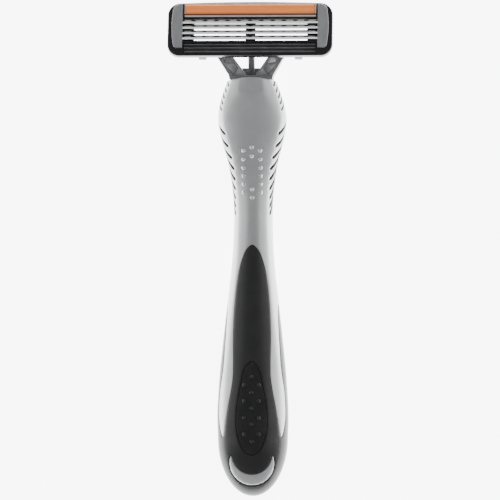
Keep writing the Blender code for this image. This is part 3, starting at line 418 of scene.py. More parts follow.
def rest_loop():
    """The right edge of the finger rest's shell, which closes past the middle of the back."""
    low, high = handle_y(REST_BOTTOM), handle_y(REST_TOP)
    rows = np.linspace(low + REST_CORNER, high - REST_CORNER, 40)
    edge = [flat_from(side_turn(y, rest_edge(y)), y) for y in rows]

    def corner(y, step):
        turned_in = flat_from(side_turn(y, rest_edge(y)) + REST_OVERLAP, y + step)
        return [turned_in, flat_from(1.5, y), flat_from(PAST_BACK, y)]

    line = curved([*reversed(corner(low, 0.15)), *edge, *corner(high, -0.15)], LINE_STEP)
    return np.vstack([line, [(FAR, high), (FAR, low)]])


def slanted_line(y, inner, until):
    """Down a side along a slanting plane, from x = inner on the front until that turn."""
    half = float(section(y)[1])
    start = np.arcsin(min(inner / half, 1) ** (FRONT_POWER / 2)) * 2 / pi
    height = form(start, y)[2]
    turns = np.linspace(start, until, 40)
    low, high = np.full(40, y - 3.0), np.full(40, y + 16.0)
    for _ in range(30):
        middle = (low + high) / 2
        above = form(turns, middle)[:, 2] - height + tan(RIB_SLOPE) * (middle - y) > 0
        low, high = np.where(above, low, middle), np.where(above, middle, high)
    return spaced(flat_from(turns, middle), LINE_STEP)


def band(line, width):
    """A closed loop round a line, with a rounded first end."""
    gone = np.concatenate([[0], np.cumsum(np.linalg.norm(np.diff(line, axis=0), axis=1))])
    share = np.sqrt(np.clip((gone + 0.02) / width, 0, 1))[:, None]
    one, other = shifted(line, width / 2), shifted(line, -width / 2)
    one, other = line + (one - line) * share, line + (other - line) * share
    return np.vstack([one, other[::-1]])


def rib_loops(width):
    """The finger rest's slanting ribs on the right side, further apart towards the head."""
    loops = []
    for k in range(RIBS):
        y = handle_y(RIB_FIRST) + RIB_PITCH * k + RIB_GROWTH * k * k
        inner = max(RIB_INNER_HALF, float(section(y)[1]) - RIB_INSET) - RIB_REACH
        until = float(side_turn(y + 5, rest_edge(y + 5))) + REST_OVERLAP
        loops.append(band(slanted_line(y, inner, until), width))
    return loops


def groove_loops():
    """The notches in the right shoulder."""
    loops = []
    for k in range(GROOVES):
        y = handle_y(GROOVE_FIRST) + GROOVE_PITCH * k
        line = slanted_line(y, float(section(y)[1]) - GROOVE_INSET, 1.35)
        loops.append(band(line[line[:, 1] < JOINT_Y + 3], GROOVE_WIDTH))
    return loops


def both_sides(loops):
    return loops + [mirrored(loop) for loop in loops]


GRIP = Zone(grip_loop())
CRESCENT = Zone(crescent_loop())
PAD_ZONE = Zone(pad_loop())
REST = Zone(*both_sides([rest_loop(), *rib_loops(RIB_THICKNESS)]))
SHOULDER = Zone(*both_sides(groove_loops()))


def joint_edge():
    """The handle's arched end, unrolled."""
    turn = np.linspace(-2.2, 2.2, 241)
    x = form(np.clip(turn, -2, 2), np.full(len(turn), JOINT_Y))[:, 0]
    run = JOINT_Y + JOINT_ARCH * np.maximum(1 - (x / JOINT_HALF) ** 2, 0)
    return flat_from(turn, run)


def ledge_line():
    """The fine step across the neck's front, that hangs a little in the middle."""
    x = np.linspace(-LEDGE_HALF, LEDGE_HALF, 31)
    y = LEDGE_Y + LEDGE_SAG * (x / LEDGE_HALF) ** 2
    return flat_front(np.stack([x, y], axis=1))


END = joint_edge()
LEDGE = ledge_line()


def rolled(edge, roll=ROLL):
    """How far a rounded edge lies under the surface, this far in from the edge."""
    gap = roll - np.clip(edge, 0, roll)
    return roll - np.sqrt(np.maximum(roll**2 - gap**2, 0))


# ---- Meshes


def made(name, bm, smooth_to=38):
    """An object of this mesh, smooth but for edges sharper than this many degrees."""
    mesh = bpy.data.meshes.new(name)
    bm.to_mesh(mesh)
    bm.free()
    mesh.shade_smooth()
    mesh.set_sharp_from_angle(angle=radians(smooth_to))
    obj = bpy.data.objects.new(name, mesh)
    bpy.context.scene.collection.objects.link(obj)
    return obj


def everywhere(points):
    return np.full(len(points), True)


def skin_piece(name, keep, lines, inset, under=None, end=None):
    """A patch of the handle's skin: a fine net through the lines, its edges rounded by inset.

    keep and inset take unrolled points. With under, the patch becomes a shell that deep;
    without it the patch goes all round, and its joint end is closed at the end line."""
    runs = np.linspace(TAIL_END - TAIL_RUN, JOINT_Y + SKIN_PAST, 340)
    cut = flat_from(np.full(len(runs), 2.0), runs)
    fixed = [cut, cut * (-1, 1), *lines]
    if end is not None:
        fixed += [end, shifted(end, -ROLL / 3), shifted(end, -ROLL)]
    points = np.vstack(fixed)
    edges, start = [], 0
    for line in fixed:
        edges += [(start + i, start + i + 1) for i in range(len(line) - 1)]
        start += len(line)
    tree = KDTree(len(points))
    for i, p in enumerate(points):
        tree.insert((*p, 0), i)
    tree.balance()
    inner = []
    row_step = SKIN_STEP * sqrt(3) / 2
    count = int((JOINT_Y + SKIN_PAST - TAIL_END + TAIL_RUN) / row_step)
    for r in range(count):
        run = TAIL_END - TAIL_RUN + row_step * (r + 0.5)
        wide = 2 * SPREAD * float(section(run)[1]) - 0.25
        k = int(wide / SKIN_STEP) + 1
        across = (np.arange(-k, k + 1) + 0.5 * (r % 2)) * SKIN_STEP
        inner += [(x, run) for x in across if abs(x) < wide]
    inner = np.array([p for p in inner if tree.find((*p, 0))[2] > SKIN_STEP * 0.5])
    every = np.vstack([points, inner])
    flat, _, faces, *_ = delaunay_2d_cdt([Vector(p) for p in every], edges, [], 0, 1e-6, False)
    flat = np.array([tuple(p) for p in flat])
    faces = np.array(faces)
    seam_at = np.interp(flat[:, 1], cut[:, 1], cut[:, 0])
    seam = np.abs(np.abs(flat[:, 0]) - seam_at) < 1e-4
    flat[seam, 0] = np.sign(flat[seam, 0]) * 2 * SPREAD * section(flat[seam, 1])[1]
    middle = flat[faces].mean(axis=1)
    wide = np.interp(middle[:, 1], cut[:, 1], cut[:, 0])
    shown = (np.abs(middle[:, 0]) < wide) & (middle[:, 1] > TAIL_END - TAIL_RUN)
    if end is not None:
        shown &= middle[:, 1] < np.interp(middle[:, 0], end[:, 0], end[:, 1])
    faces = faces[shown & keep(middle)]
    used, faces = np.unique(faces, return_inverse=True)
    flat, seam, faces = flat[used], seam[used], faces.reshape(-1, 3)
    bm = bmesh.new()
    top = [bm.verts.new(p) for p in skin(flat, inset(flat)) * MM]
    for a, b, c in faces:
        bm.faces.new((top[a], top[b], top[c]))
    if under is not None:
        low = [bm.verts.new(p) for p in skin(flat, np.full(len(flat), under)) * MM]
        for a, b, c in faces:
            bm.faces.new((low[c], low[b], low[a]))
        sides = np.vstack([faces[:, [0, 1]], faces[:, [1, 2]], faces[:, [2, 0]]])
        met = {tuple(side) for side in sides}
        for a, b in met:
            if (b, a) not in met and not (seam[a] and seam[b]):
                bm.faces.new((top[b], top[a], low[a], low[b]))
    bmesh.ops.remove_doubles(bm, verts=bm.verts, dist=0.002 * MM)
    if end is not None:
        rim = [e for e in bm.edges if e.is_boundary and e.verts[0].co.y > (JOINT_Y - 0.5) * MM]
        bmesh.ops.edgeloop_fill(bm, edges=rim)
    bmesh.ops.recalc_face_normals(bm, faces=bm.faces)
    return made(name, bm)


# ---- The head's form, in its face frame: x across, u from guard to cap, v out of the face

PIVOT = Vector(next(j["pos_m"] for j in frame["joints"] if j["name"] == "head_pivot"))
HEAD_TILT = radians(18)
PIVOT_U, PIVOT_V = -4.6, -5.6
FACE = (
    Matrix.Translation(PIVOT) @ Matrix.Rotation(-HEAD_TILT, 4, "X")
    @ Matrix.Translation((0, -PIVOT_U * MM, -PIVOT_V * MM))
)
HEAD_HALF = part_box("cartridge_housing")[1].x / MM
GUARD_EDGE, CAP_EDGE, CROWN, CORNER = -7.55, 7.9, 0.6, 3.2
HEAD_BACK, HEAD_RIM = -4.8, -0.35
HEAD_TUCK, TUCK_FROM = 0.9, -2.1  # the guard's wall leans in below this
BACK_ROUND, FACE_ROUND = 1.1, 0.5
OVER = 3.0  # how far a cutting tool stands past what it cuts
BAY_HALF = HEAD_HALF - 3.1
BAY_FLOOR, BAY_STEP, CENTRE_RIB_HALF, WINDOW_ROOF = -3.1, 0.08, 1.33, -1.5
COMB_START = BAY_HALF - 3.8
CAP_FOOT, CAP_HEAD = (0.7, 0.5), (1.5, 1.3)  # the end caps' outer corners: up the face, across
BLADE_HALF = BAY_HALF - 0.15
EDGES = (1.37, -0.13, -1.63, -3.13)
BLADE_SLOPE, BLADE_WIDTH, BLADE_BEVEL, BLADE_HALF_THICK = radians(21), 1.3, 0.6, 0.05
BLADE_TIP = ((0.0, 0.002), (0.012, 0.004), (0.10, 0.0125))  # the edge's finest bevels
WELD_LINE, WELD_BREADTH, WELD_HEIGHT = 0.93, 0.60, 0.012
BAY_MARGIN = 0.27  # round the blades, towards the guard and the cap
BAY_GUARD = EDGES[-1] - BAY_MARGIN
BAY_CAP = EDGES[0] + BLADE_WIDTH * cos(BLADE_SLOPE) + BAY_MARGIN
SHELF_HALF = HEAD_HALF - 4.4
GUARD_LOW, GUARD_HIGH, GUARD_FLOOR = GUARD_EDGE + 0.45, BAY_GUARD - 0.6, -1.9
FIN_FOOT, FIN_HEAD, FIN_END = 0.06, 0.90, 0.06  # a fin's share of the pitch; how short it stops
FIN_TOP, FIN_VALLEY, FIN_TIP, FIN_ROOT = -0.1, -0.95, 0.17, 0.3
TRAY_LOW, TRAY_HIGH, TRAY_FLOOR, TRAY_RIM = BAY_CAP + 0.45, CAP_EDGE - 0.7, -2.3, -0.15
TRAY_WALL, TRAY_FRONT, STRIP_DEPTH, STRIP_CROWN = 0.3, 0.75, 1.6, 0.1
CAP_INNER, CAP_OUTER = HEAD_HALF - 4.0, HEAD_HALF - 1.1
CAP_LOW, CAP_HIGH, CAP_FLOOR, CAP_FACE, CAP_BULGE = -5.55, 6.85, -1.1, 0.3, 0.6
PIN_RADIUS, BOSS_OUTER, BOSS_INNER, BOSS_RADIUS = 1.05, 11.5, 8.0, 1.85
LUG_START, LUG_WIDTH, LUG_WALL = BOSS_OUTER + 0.3, 2.0, 1.0
BACK_ROOT = HEAD_BACK + 0.4  # how deep the lugs and the cam are rooted in the head's back
COMB_FLOOR, COMB_THICK, COMB_GAP, FINGER_LEAN = -3.65, 0.22, 0.16, 0.55
SUPPORT_FOOT, SUPPORT_THICK, WELD_GAP, TAB_REACH = -2.6, 0.25, 0.015, 0.75
PLUNGER_START = Vector((0, JOINT_Y, 12.6)) * MM
PLUNGER_SLOPE = radians(15)
PLUNGER = Matrix.Translation(PLUNGER_START) @ Matrix.Rotation(PLUNGER_SLOPE, 4, "X")
PLUNGER_RADIUS, PLUNGER_TIP, PLUNGER_STROKE = 0.9, 0.45, 2.0
AXIS = 0.01  # the small end disc of a turned piece
PLUNGER_REAR = (  # (y, radius) rings of the plunger's stem and flange
    (-3.1, AXIS), (-3.1, 0.49), (-3.04, 0.55), (-1.16, 0.55), (-1.1, 0.6), (-1.1, 1.12),
    (-1.02, 1.2), (-0.18, 1.2), (-0.1, 1.12), (-0.1, PLUNGER_RADIUS),
)
BORE_DEPTH, BORE_RADIUS, BORE_NECK = 7.8, 1.35, 1.0
SPRING_WIRE, SPRING_RADIUS = 0.35, 0.875
CAM_RADIUS, CAM_PLACE, CAM_CONTACT, CAM_HALF = 2.8626, 8.635, 3.4, 1.2
HEAD_SWING = radians(40)

# The studio: what the lamps and the camera aim at, the floor's half side, and the lamps as
# (name, place, width, length, power)
LOOK_AT = Vector((0, 0, 0.021))
FLOOR_HALF = 1.2
LIGHTS = (
    ("soft_left", (-0.55, 0.0, 0.32), 0.35, 0.9, 1.6),
    ("soft_right", (0.55, 0.0, 0.32), 0.35, 0.9, 1.6),
    ("low_head", (0.0, 0.80, 0.30), 0.6, 0.20, 0.85),
)


def arc(middle, radius, start, end, steps):
    turn = np.linspace(start, end, steps + 1)
    return [(middle[0] + radius * cos(a), middle[1] + radius * sin(a)) for a in turn]


def rounded(low_x, high_x, low_y, high_y, radius, steps=5):
    """A rectangle's outline with rounded corners, anticlockwise."""
    middles = ((high_x, high_y, 0), (low_x, high_y, 1), (low_x, low_y, 2), (high_x, low_y, 3))
    line = []
    for x, y, quarter in middles:
        x += radius if x == low_x else -radius
        y += radius if y == low_y else -radius
        line += arc((x, y), radius, quarter * pi / 2, (quarter + 1) * pi / 2, steps)
    return line


def head_outline(inset=0.0, tuck=0.0):
    """The head seen on its face, its cap edge crowned, its guard edge drawn in by the tuck."""
    low, high = GUARD_EDGE + inset + tuck, CAP_EDGE - CROWN - inset
    line = rounded(inset - HEAD_HALF, HEAD_HALF - inset, low, high, CORNER - inset, 10)
    cut = [i for i, p in enumerate(line) if p[1] > CAP_EDGE - CROWN - inset - 1e-6]
    first, last = line[cut[0]], line[cut[1]]
    top = [(x, first[1]) for x in np.linspace(first[0], last[0], 33)[1:-1]]
    line = line[: cut[0] + 1] + top + line[cut[1]:]

    def crowned(x, y):
        return x, y + CROWN * (1 - (x / HEAD_HALF) ** 2) * max((y - CAP_EDGE + CORNER) / CORNER, 0)

    return [crowned(x, y) for x, y in line]


def stack(rings, closed=False):
    """A solid through outlines of equal count at heights: [(outline, z), ...]."""
    bm = bmesh.new()
    rows = [[bm.verts.new((x * MM, y * MM, z * MM)) for x, y in outline] for outline, z in rings]
    pairs = list(zip(rows, rows[1:])) + ([(rows[-1], rows[0])] if closed else [])
    for lower, upper in pairs:
        for i in range(len(lower)):
            j = (i + 1) % len(lower)
            bm.faces.new((lower[i], lower[j], upper[j], upper[i]))
    if not closed:
        bm.faces.new(rows[0][::-1])
        bm.faces.new(rows[-1])
    bmesh.ops.recalc_face_normals(bm, faces=bm.faces)
    return bm


def plate(outline, low, high):
    return stack([(outline, low), (outline, high)])


def box_across(low, high, y, z):
    """A box between these in x, and within these pairs in y and z."""
    return plate([(low, y[0]), (high, y[0]), (high, y[1]), (low, y[1])], *z)


def bar(profile, low, high):
    """A (y, z) profile drawn along x."""
    bm = plate(profile, low, high)
    lying = Matrix(((0, 0, 1, 0), (1, 0, 0, 0), (0, 1, 0, 0), (0, 0, 0, 1)))
    bmesh.ops.transform(bm, matrix=lying, verts=bm.verts)
    return bm


def both(make, low, high, *rest):
    """The same piece on the right and on the left, as one tool."""
    right, left = make(low, high, *rest), make(-high, -low, *rest)
    mesh = bpy.data.meshes.new("tool")
    left.to_mesh(mesh)
    left.free()
    right.from_mesh(mesh)
    bpy.data.meshes.remove(mesh)
    return right


def combined(obj, operation, *tools):
    """The object after a Boolean with each tool."""
    for bm in tools:
        tool = made("tool", bm)
        step = obj.modifiers.new("step", "BOOLEAN")
        step.operation, step.solver, step.object = operation, "EXACT", tool
        applied(obj)
        bpy.data.objects.remove(tool)
    return obj


def cut(obj, *tools):
    return combined(obj, "DIFFERENCE", *tools)


def joined(obj, *tools):
    return combined(obj, "UNION", *tools)


def applied(obj):
    """The object with its modifiers made part of its mesh."""
    bpy.context.view_layer.update()
    mesh = bpy.data.meshes.new_from_object(obj.evaluated_get(bpy.context.evaluated_depsgraph_get()))
    obj.modifiers.clear()
    obj.data = mesh
    return obj


def softened(obj, width, segments=2, angle=35, matrix=None):
    """Flat faces made whole, edges rounded, and the mesh put in its place."""
    bm = bmesh.new()
    bm.from_mesh(obj.data)
    bmesh.ops.remove_doubles(bm, verts=bm.verts, dist=0.002 * MM)
    bmesh.ops.dissolve_limit(bm, angle_limit=radians(0.5), verts=bm.verts, edges=bm.edges)
    bm.to_mesh(obj.data)
    bm.free()
    if width:
        edge = obj.modifiers.new("edges", "BEVEL")
        edge.width, edge.segments, edge.limit_method = width * MM, segments, "ANGLE"
        edge.angle_limit, edge.harden_normals = radians(angle), False
        applied(obj)
    obj.data.shade_smooth()
    obj.data.set_sharp_from_angle(angle=radians(50 if width else 30))
    lean = obj.modifiers.new("faces", "WEIGHTED_NORMAL")
    lean.keep_sharp = True
    applied(obj)
    if matrix:
        obj.data.transform(matrix)
    return obj


# ---- Finishes


class Wire:
    """A shader socket. Sums and products on it add their Math nodes."""

    def __init__(self, tree, socket=None):
        self.tree, self.socket = tree, socket

    def add(self, kind, settings=None, out=0, **links):
        """Another node: its type, its settings, then its sockets by name, spaces as underscores."""
        node = self.tree.nodes.new(kind)
        for name, value in (settings or {}).items():
            if name == "stops":
                while len(node.color_ramp.elements) < len(value):
                    node.color_ramp.elements.new(1.0)
                for stop, (place, grey) in zip(node.color_ramp.elements, value):
                    stop.position, stop.color = place, (grey, grey, grey, 1)
            else:
                setattr(node, name, value)
        for name, value in links.items():
            self.put(node, int(name[1:]) if name[1:].isdigit() else name.replace("_", " "), value)
        return Wire(self.tree, node.outputs[out])

    def put(self, node, name, value):
        socket = node.inputs[name]
        if isinstance(value, Wire):
            self.tree.links.new(value.socket, socket)
        elif hasattr(value, "__len__") and len(value) == 3 and len(socket.default_value) == 4:
            socket.default_value = (*value, 1)
        else:
            socket.default_value = value

    def maths(self, operation, a, b, c=0.0):
        return self.add("ShaderNodeMath", {"operation": operation}, s0=a, s1=b, s2=c)

    def __add__(self, other):
        return self.maths("ADD", self, other)

    def __sub__(self, other):
        return self.maths("SUBTRACT", self, other)

    def __rsub__(self, other):
        return self.maths("SUBTRACT", other, self)

    def __mul__(self, other):
        return self.maths("MULTIPLY", self, other)

    __radd__, __rmul__ = __add__, __mul__

    def vector(self, **parts):
        return self.add("ShaderNodeCombineXYZ", **parts)

    def mixed(self, low, high):
        """One colour where this is 0, the other where it is 1."""
        settings = {"data_type": "RGBA"}
        return self.add("ShaderNodeMix", settings, 2, Factor=self, s6=low, s7=high)

    def between(self, low, high):
        """This stretched from low..high to 0..1."""
        return self.add("ShaderNodeMapRange", s0=self, s1=low, s2=high)


def finish(name, **fixed):
    """A new material with these on its shader: (material, the place of a point on the piece as a Wire)."""
    material = bpy.data.materials.new(name)
    material.use_nodes = True
    tree = material.node_tree
    start = Wire(tree)
    for socket, value in fixed.items():
        start.put(tree.nodes["Principled BSDF"], socket.replace("_", " "), value)
    return material, start.add("ShaderNodeTexCoord", out=3)


def dressed(material, **changing):
    """The material with what changes over its surface."""
    tree = material.node_tree
    for socket, value in changing.items():
        value.put(tree.nodes["Principled BSDF"], socket.replace("_", " "), value)
    return material


def speckle(place, size, detail=2.0, stretch=(1, 1, 1)):
    """Cloudy noise from 0 to 1 whose spots are about this many millimetres across."""
    scale = tuple(s / (size * MM) for s in stretch)
    spread = place.add("ShaderNodeVectorMath", {"operation": "MULTIPLY"}, s0=place, s1=scale)
    return place.add("ShaderNodeTexNoise", Vector=spread, Scale=1.0, Detail=detail, Roughness=0.55)


def bumped(place, height, strength, distance=0.02):
    return place.add("ShaderNodeBump", Strength=strength, Distance=distance * MM, Height=height)


def times(colour, by, plus=0.0):
    """A lighter or darker tone of a colour."""
    return tuple(min(c * by + plus, 1.0) for c in colour)


def silver_lacquer(look):
    """Silver paint under a satin lacquer: fine flakes, and slight waves of gloss."""
    material, place = finish("silver_lacquer", Coat_Weight=0.35, Coat_Roughness=0.18, Metallic=0.75)
    flakes, cloud = speckle(place, 0.09, 1.0), speckle(place, 6.0)
    tint = (flakes * 0.4 + cloud * 0.6).between(0.3, 0.7)
    return dressed(
        material, Base_Color=tint.mixed(times(look.silver, 0.86), look.silver),
        Roughness=cloud * 0.08 + flakes * 0.06 + look.silver_roughness, Normal=bumped(place, flakes, 0.06),
    )


def bright_silver(look):
    """The same lacquer on the raised dots, thicker and more polished, its colour painted up to 1.6 times
    lighter as a painted highlight.
    """
    material, place = finish("bright_silver", Coat_Weight=0.6, Coat_Roughness=0.12, Metallic=0.6)
    cloud, grain = speckle(place, 1.5), speckle(place, 0.25)
    # the dots' colour runs from the silver to 1.6 times lighter: a painted highlight
    return dressed(
        material, Base_Color=cloud.mixed(look.silver, times(look.silver, 1.6)),
        Roughness=grain * 0.08 + (look.silver_roughness - 0.06), Normal=bumped(place, grain, 0.03),
    )


def black_rubber(look, name="black_rubber", roughness=0.36, tone=1.0, grain=0.16, shine=0.4):
    """Moulded rubber: a fine spark-eroded grain, and lighter specks in it that are partly a little dust and
    partly a painted sheen.
    """
    material, place = finish(name, Specular_IOR_Level=shine)
    pits, cloud = speckle(place, grain), speckle(place, 4.0, 4.0)
    colour = times(look.rubber, tone)
    # lighter specks: partly dust, partly a painted sheen
    dust_and_sheen = (pits * cloud).between(0.2, 0.45)
    return dressed(
        material, Base_Color=dust_and_sheen.mixed(colour, times(colour, 1.7, 0.002)),
        Roughness=pits * 0.10 + cloud * 0.08 + (roughness - 0.08), Normal=bumped(place, pits, 0.22),
    )


def pad_rubber(look):
    """The palm pad is matter and a little greyer than the grip."""
    return black_rubber(look, "pad_rubber", 0.78, 1.8, 0.24, 0.2)


def guard_rubber(look):
    """The guard is the greyest rubber, and the finest in grain."""
    return black_rubber(look, "guard_rubber", 0.5, 7.0, 0.12)


def rest_rubber(look):
    """The finger rest shines the least, so that its ribs stay black."""
    return black_rubber(look, "rest_rubber", 0.50, 0.9, 0.2, 0.06)


def black_gloss(look):
    """Polished black plastic with faint polishing haze."""
    material, place = finish("black_gloss", Specular_IOR_Level=0.35)
    cloud, grain = speckle(place, 5.0, 3.0), speckle(place, 0.3)
    return dressed(
        material, Base_Color=cloud.mixed(look.housing, times(look.housing, 1.6, 0.001)),
        Roughness=cloud * 0.12 + grain * 0.05 + 0.12, Normal=bumped(place, grain, 0.04),
    )


def grey_plastic(look, name, colour, roughness=0.42, grain=0.22, depth=0.25):
    """Moulded plastic with an eroded grain, a little worn where it is handled."""
    material, place = finish(name, Specular_IOR_Level=0.5)
    pits, cloud = speckle(place, grain, 3.0), speckle(place, 3.5, 3.0)
    wear = (pits * 0.7 + cloud * 0.3).between(0.35, 0.62)
    return dressed(
        material, Base_Color=wear.mixed(times(colour, 0.72), colour),
        Roughness=pits * 0.12 + cloud * 0.10 + (roughness - 0.1), Normal=bumped(place, pits, depth),
    )


def cap_plastic(look):
    return grey_plastic(look, "cap_plastic", look.caps, 0.40, 0.20, 0.18)


def yoke_plastic(look):
    return grey_plastic(look, "yoke_plastic", look.yoke, 0.40, 0.26, 0.18)


def comb_plastic(look):
    return grey_plastic(look, "comb_plastic", times(look.housing, 3), 0.5)


def up_the_face(place):
    """How far up the head's face a point lies, in metres."""
    way = FACE.to_3x3() @ Vector((0, 1, 0))
    along = place.add("ShaderNodeVectorMath", {"operation": "DOT_PRODUCT"}, 1, s0=place, s1=tuple(way))
    return along - way.dot(FACE.translation)


def clear_tray(look):
    """Frosted clear plastic, pale but for a painted dark-red band of shade where the strip's colour would
    show through its front wall.
    """
    material, place = finish("clear_tray", Coat_Weight=0.3, Coat_Roughness=0.1)
    cloud, grain = speckle(place, 1.6), speckle(place, 0.15)
    well = TRAY_LOW + SEAM + TRAY_FRONT
    up = up_the_face(place)
    # a painted dark-red band of shade just under the strip's well, tinted as if the strip's orange showed
    # through the wall
    from_wall = up.between((well - 0.50) * MM, (well - 0.28) * MM)
    painted_shade = from_wall * (1 - up.between(well * MM, (well + 0.2) * MM))
    frosted = cloud.mixed(times(look.tray, 0.62), look.tray)
    return dressed(
        material, Base_Color=painted_shade.mixed(frosted, look.painted_shade), Roughness=grain * 0.15 + 0.22,
        Normal=bumped(place, grain, 0.12),
    )


def lubricant(look):
    """The soap strip: waxy, with long drawn lines and small pale grains."""
    material, place = finish("lubricant", Specular_IOR_Level=0.5)
    lines = speckle(place, 0.30, 2.0, (0.02, 1, 1))
    grains = speckle(place, 0.14, 1.0)
    deep = (look.strip[0] * 0.90, look.strip[1] * 0.72, look.strip[2] * 0.60)
    tint = (lines * 0.75 + grains * 0.25).between(0.36, 0.62)
    return dressed(
        material, Base_Color=tint.mixed(deep, look.strip), Roughness=lines * 0.2 + grains * 0.1 + 0.28,
        Normal=bumped(place, lines * 0.7 + grains * 0.3, 0.3),
    )


def ground_steel(look, name, by, roughness):
    """Steel ground along its length: streaks in tone, gloss and height."""
    material, place = finish(name, Metallic=1.0)
    colour = times(look.blades, by)
    streaks, cloud = speckle(place, 0.05, 3.0, (0.01, 1, 1)), speckle(place, 2.5)
    tint = (streaks * 0.7 + cloud * 0.3).between(0.3, 0.7)
    return dressed(
        material, Base_Color=tint.mixed(times(colour, 0.80), colour),
        Roughness=streaks * 0.14 + cloud * 0.06 + (roughness - 0.08), Normal=bumped(place, streaks, 0.06),
    )


def blade_steel(look):
    return ground_steel(look, "blade_steel", 1.0, 0.30)


# The bevels: the blade's own steel, a little glossier, its colour painted 2.2 times lighter as a painted
# highlight
def bevel_steel(look):
    return ground_steel(look, "bevel_steel", 2.2, 0.22)


def support_steel(look):
    return ground_steel(look, "support_steel", 1.9, 0.36)


def spring_wire(look):
    return ground_steel(look, "spring_wire", 2.7, 0.28)


def weld_mark(look):
    """The scorched spot that a laser weld leaves."""
    material, place = finish("weld_mark", Specular_IOR_Level=0.2)
    scale, cloud = speckle(place, 0.08), speckle(place, 0.5)
    burnt = (scale * cloud).between(0.15, 0.4)
    return dressed(
        material, Base_Color=burnt.mixed(look.scorch, times(look.scorch, 1.5)), Roughness=scale * 0.2 + 0.5
    )


def pale_floor(look):
    """A pale sweep, lit from under as on a light table."""
    material, place = finish(
        "pale_floor", Roughness=0.7, Emission_Color=look.floor, Emission_Strength=look.floor_glow
    )
    return dressed(material, Base_Color=speckle(place, 60.0).mixed(look.floor, times(look.floor, 1.03)))


FINISHES = {}


def finish_of(recipe):
    """The material that this recipe makes, made once."""
    if recipe not in FINISHES:
        FINISHES[recipe] = recipe(bpy.context.scene.razor)
    return FINISHES[recipe]


def finished(obj, body, slot, recipe, *replaced):
    """The piece gets its finish, rides on its body and stands for its CAD nodes."""
    obj.data.materials.clear()
    obj.data.materials.append(finish_of(recipe))
    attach(obj, body)
    if replaced:
        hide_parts(*replaced)
    return obj


# ---- Geometry Nodes for what repeats


def node_group(name, **inputs):
    """A Geometry Nodes tree with these inputs: (tree, its mesh and inputs as Wires)."""
    tree = bpy.data.node_groups.new(name, "GeometryNodeTree")
    tree.interface.new_socket("Geometry", in_out="OUTPUT", socket_type="NodeSocketGeometry")
    tree.interface.new_socket("Geometry", in_out="INPUT", socket_type="NodeSocketGeometry")
    for label, value in inputs.items():
        kind = "NodeSocketInt" if isinstance(value, int) else "NodeSocketFloat"
        socket = tree.interface.new_socket(label.replace("_", " "), in_out="INPUT", socket_type=kind)
        socket.default_value = value
    tree.interface.new_socket("Finish", in_out="INPUT", socket_type="NodeSocketMaterial")
    start = tree.nodes.new("NodeGroupInput")
    return tree, [Wire(tree, socket) for socket in list(start.outputs)[:-1]]


def grown_out(tree, shape, material):
    """The tree's end: copies made real, smooth, and given their finish."""
    whole = shape.add("GeometryNodeRealizeInstances", Geometry=shape)
    smooth = whole.add("GeometryNodeSetShadeSmooth", Geometry=whole)
    painted = smooth.add("GeometryNodeSetMaterial", Geometry=smooth, Material=material)
    end = tree.nodes.new("NodeGroupOutput")
    tree.links.new(painted.socket, end.inputs[0])
    return tree


def grow(obj, tree, recipe, **values):
    """The object turned into what the tree makes of it."""
    step = obj.modifiers.new("grow", "NODES")
    step.node_group = tree
    values["Finish"] = finish_of(recipe)
    for item in tree.interface.items_tree:
        if item.in_out == "INPUT" and item.name.replace(" ", "_") in values:
            step[item.identifier] = values[item.name.replace(" ", "_")]
    return applied(obj)


def varied(wire, uneven, seed):
    """1, give or take this much, at random for each copy."""
    change = wire.add("FunctionNodeRandomValue", {"data_type": "FLOAT"}, 1, s2=-1.0, s3=1.0, Seed=seed)
    return change * uneven + 1.0


def dots_tree():
    """Raised dots on points that each hold the way out in "aim"."""
    tree, (points, diameter, height, uneven, seed, material) = node_group(
        "raised_dots", Diameter=1.0, Height=0.1, Unevenness=0.04, Seed=0
    )
    ball = points.add("GeometryNodeMeshUVSphere", Segments=18, Rings=10, Radius=0.5)
    aim = points.add("GeometryNodeInputNamedAttribute", {"data_type": "FLOAT_VECTOR"}, Name="aim")
    turned = aim.add("FunctionNodeAlignRotationToVector", Vector=aim)
    size = varied(points, uneven, seed) * diameter
    scale = size.vector(X=size, Y=size, Z=height * 2.0)
    placed = points.add(
        "GeometryNodeInstanceOnPoints", Points=points, Instance=ball, Rotation=turned, Scale=scale
    )
    return grown_out(tree, placed, material)


def spots_tree():
    """A row of oval spots along x."""
    tree, (_, count, pitch, length, breadth, height, uneven, seed, material) = node_group(
        "spot_row", Count=13, Pitch=0.003, Length=0.0008, Breadth=0.0003, Height=0.00001,
        Unevenness=0.05, Seed=0,
    )
    row = count.add("GeometryNodeMeshLine", Count=count, Offset=pitch.vector(X=pitch))
    back = (count - 1.0) * pitch * -0.5
    row = row.add("GeometryNodeTransform", Geometry=row, Translation=back.vector(X=back))
    ball = row.add("GeometryNodeMeshUVSphere", Segments=16, Rings=8, Radius=0.5)
    size = varied(row, uneven, seed)
    scale = size.vector(X=size * length, Y=size * breadth, Z=height * 2.0)
    placed = row.add("GeometryNodeInstanceOnPoints", Points=row, Instance=ball, Scale=scale)
    return grown_out(tree, placed, material)


def row_tree():
    """Copies of the mesh, side by side along y."""
    tree, (shape, count, pitch, material) = node_group("side_by_side", Count=3, Pitch=0.001)
    row = shape.add("GeometryNodeMeshLine", Count=count, Offset=pitch.vector(Y=pitch))
    placed = row.add("GeometryNodeInstanceOnPoints", Points=row, Instance=shape)
    return grown_out(tree, placed, material)


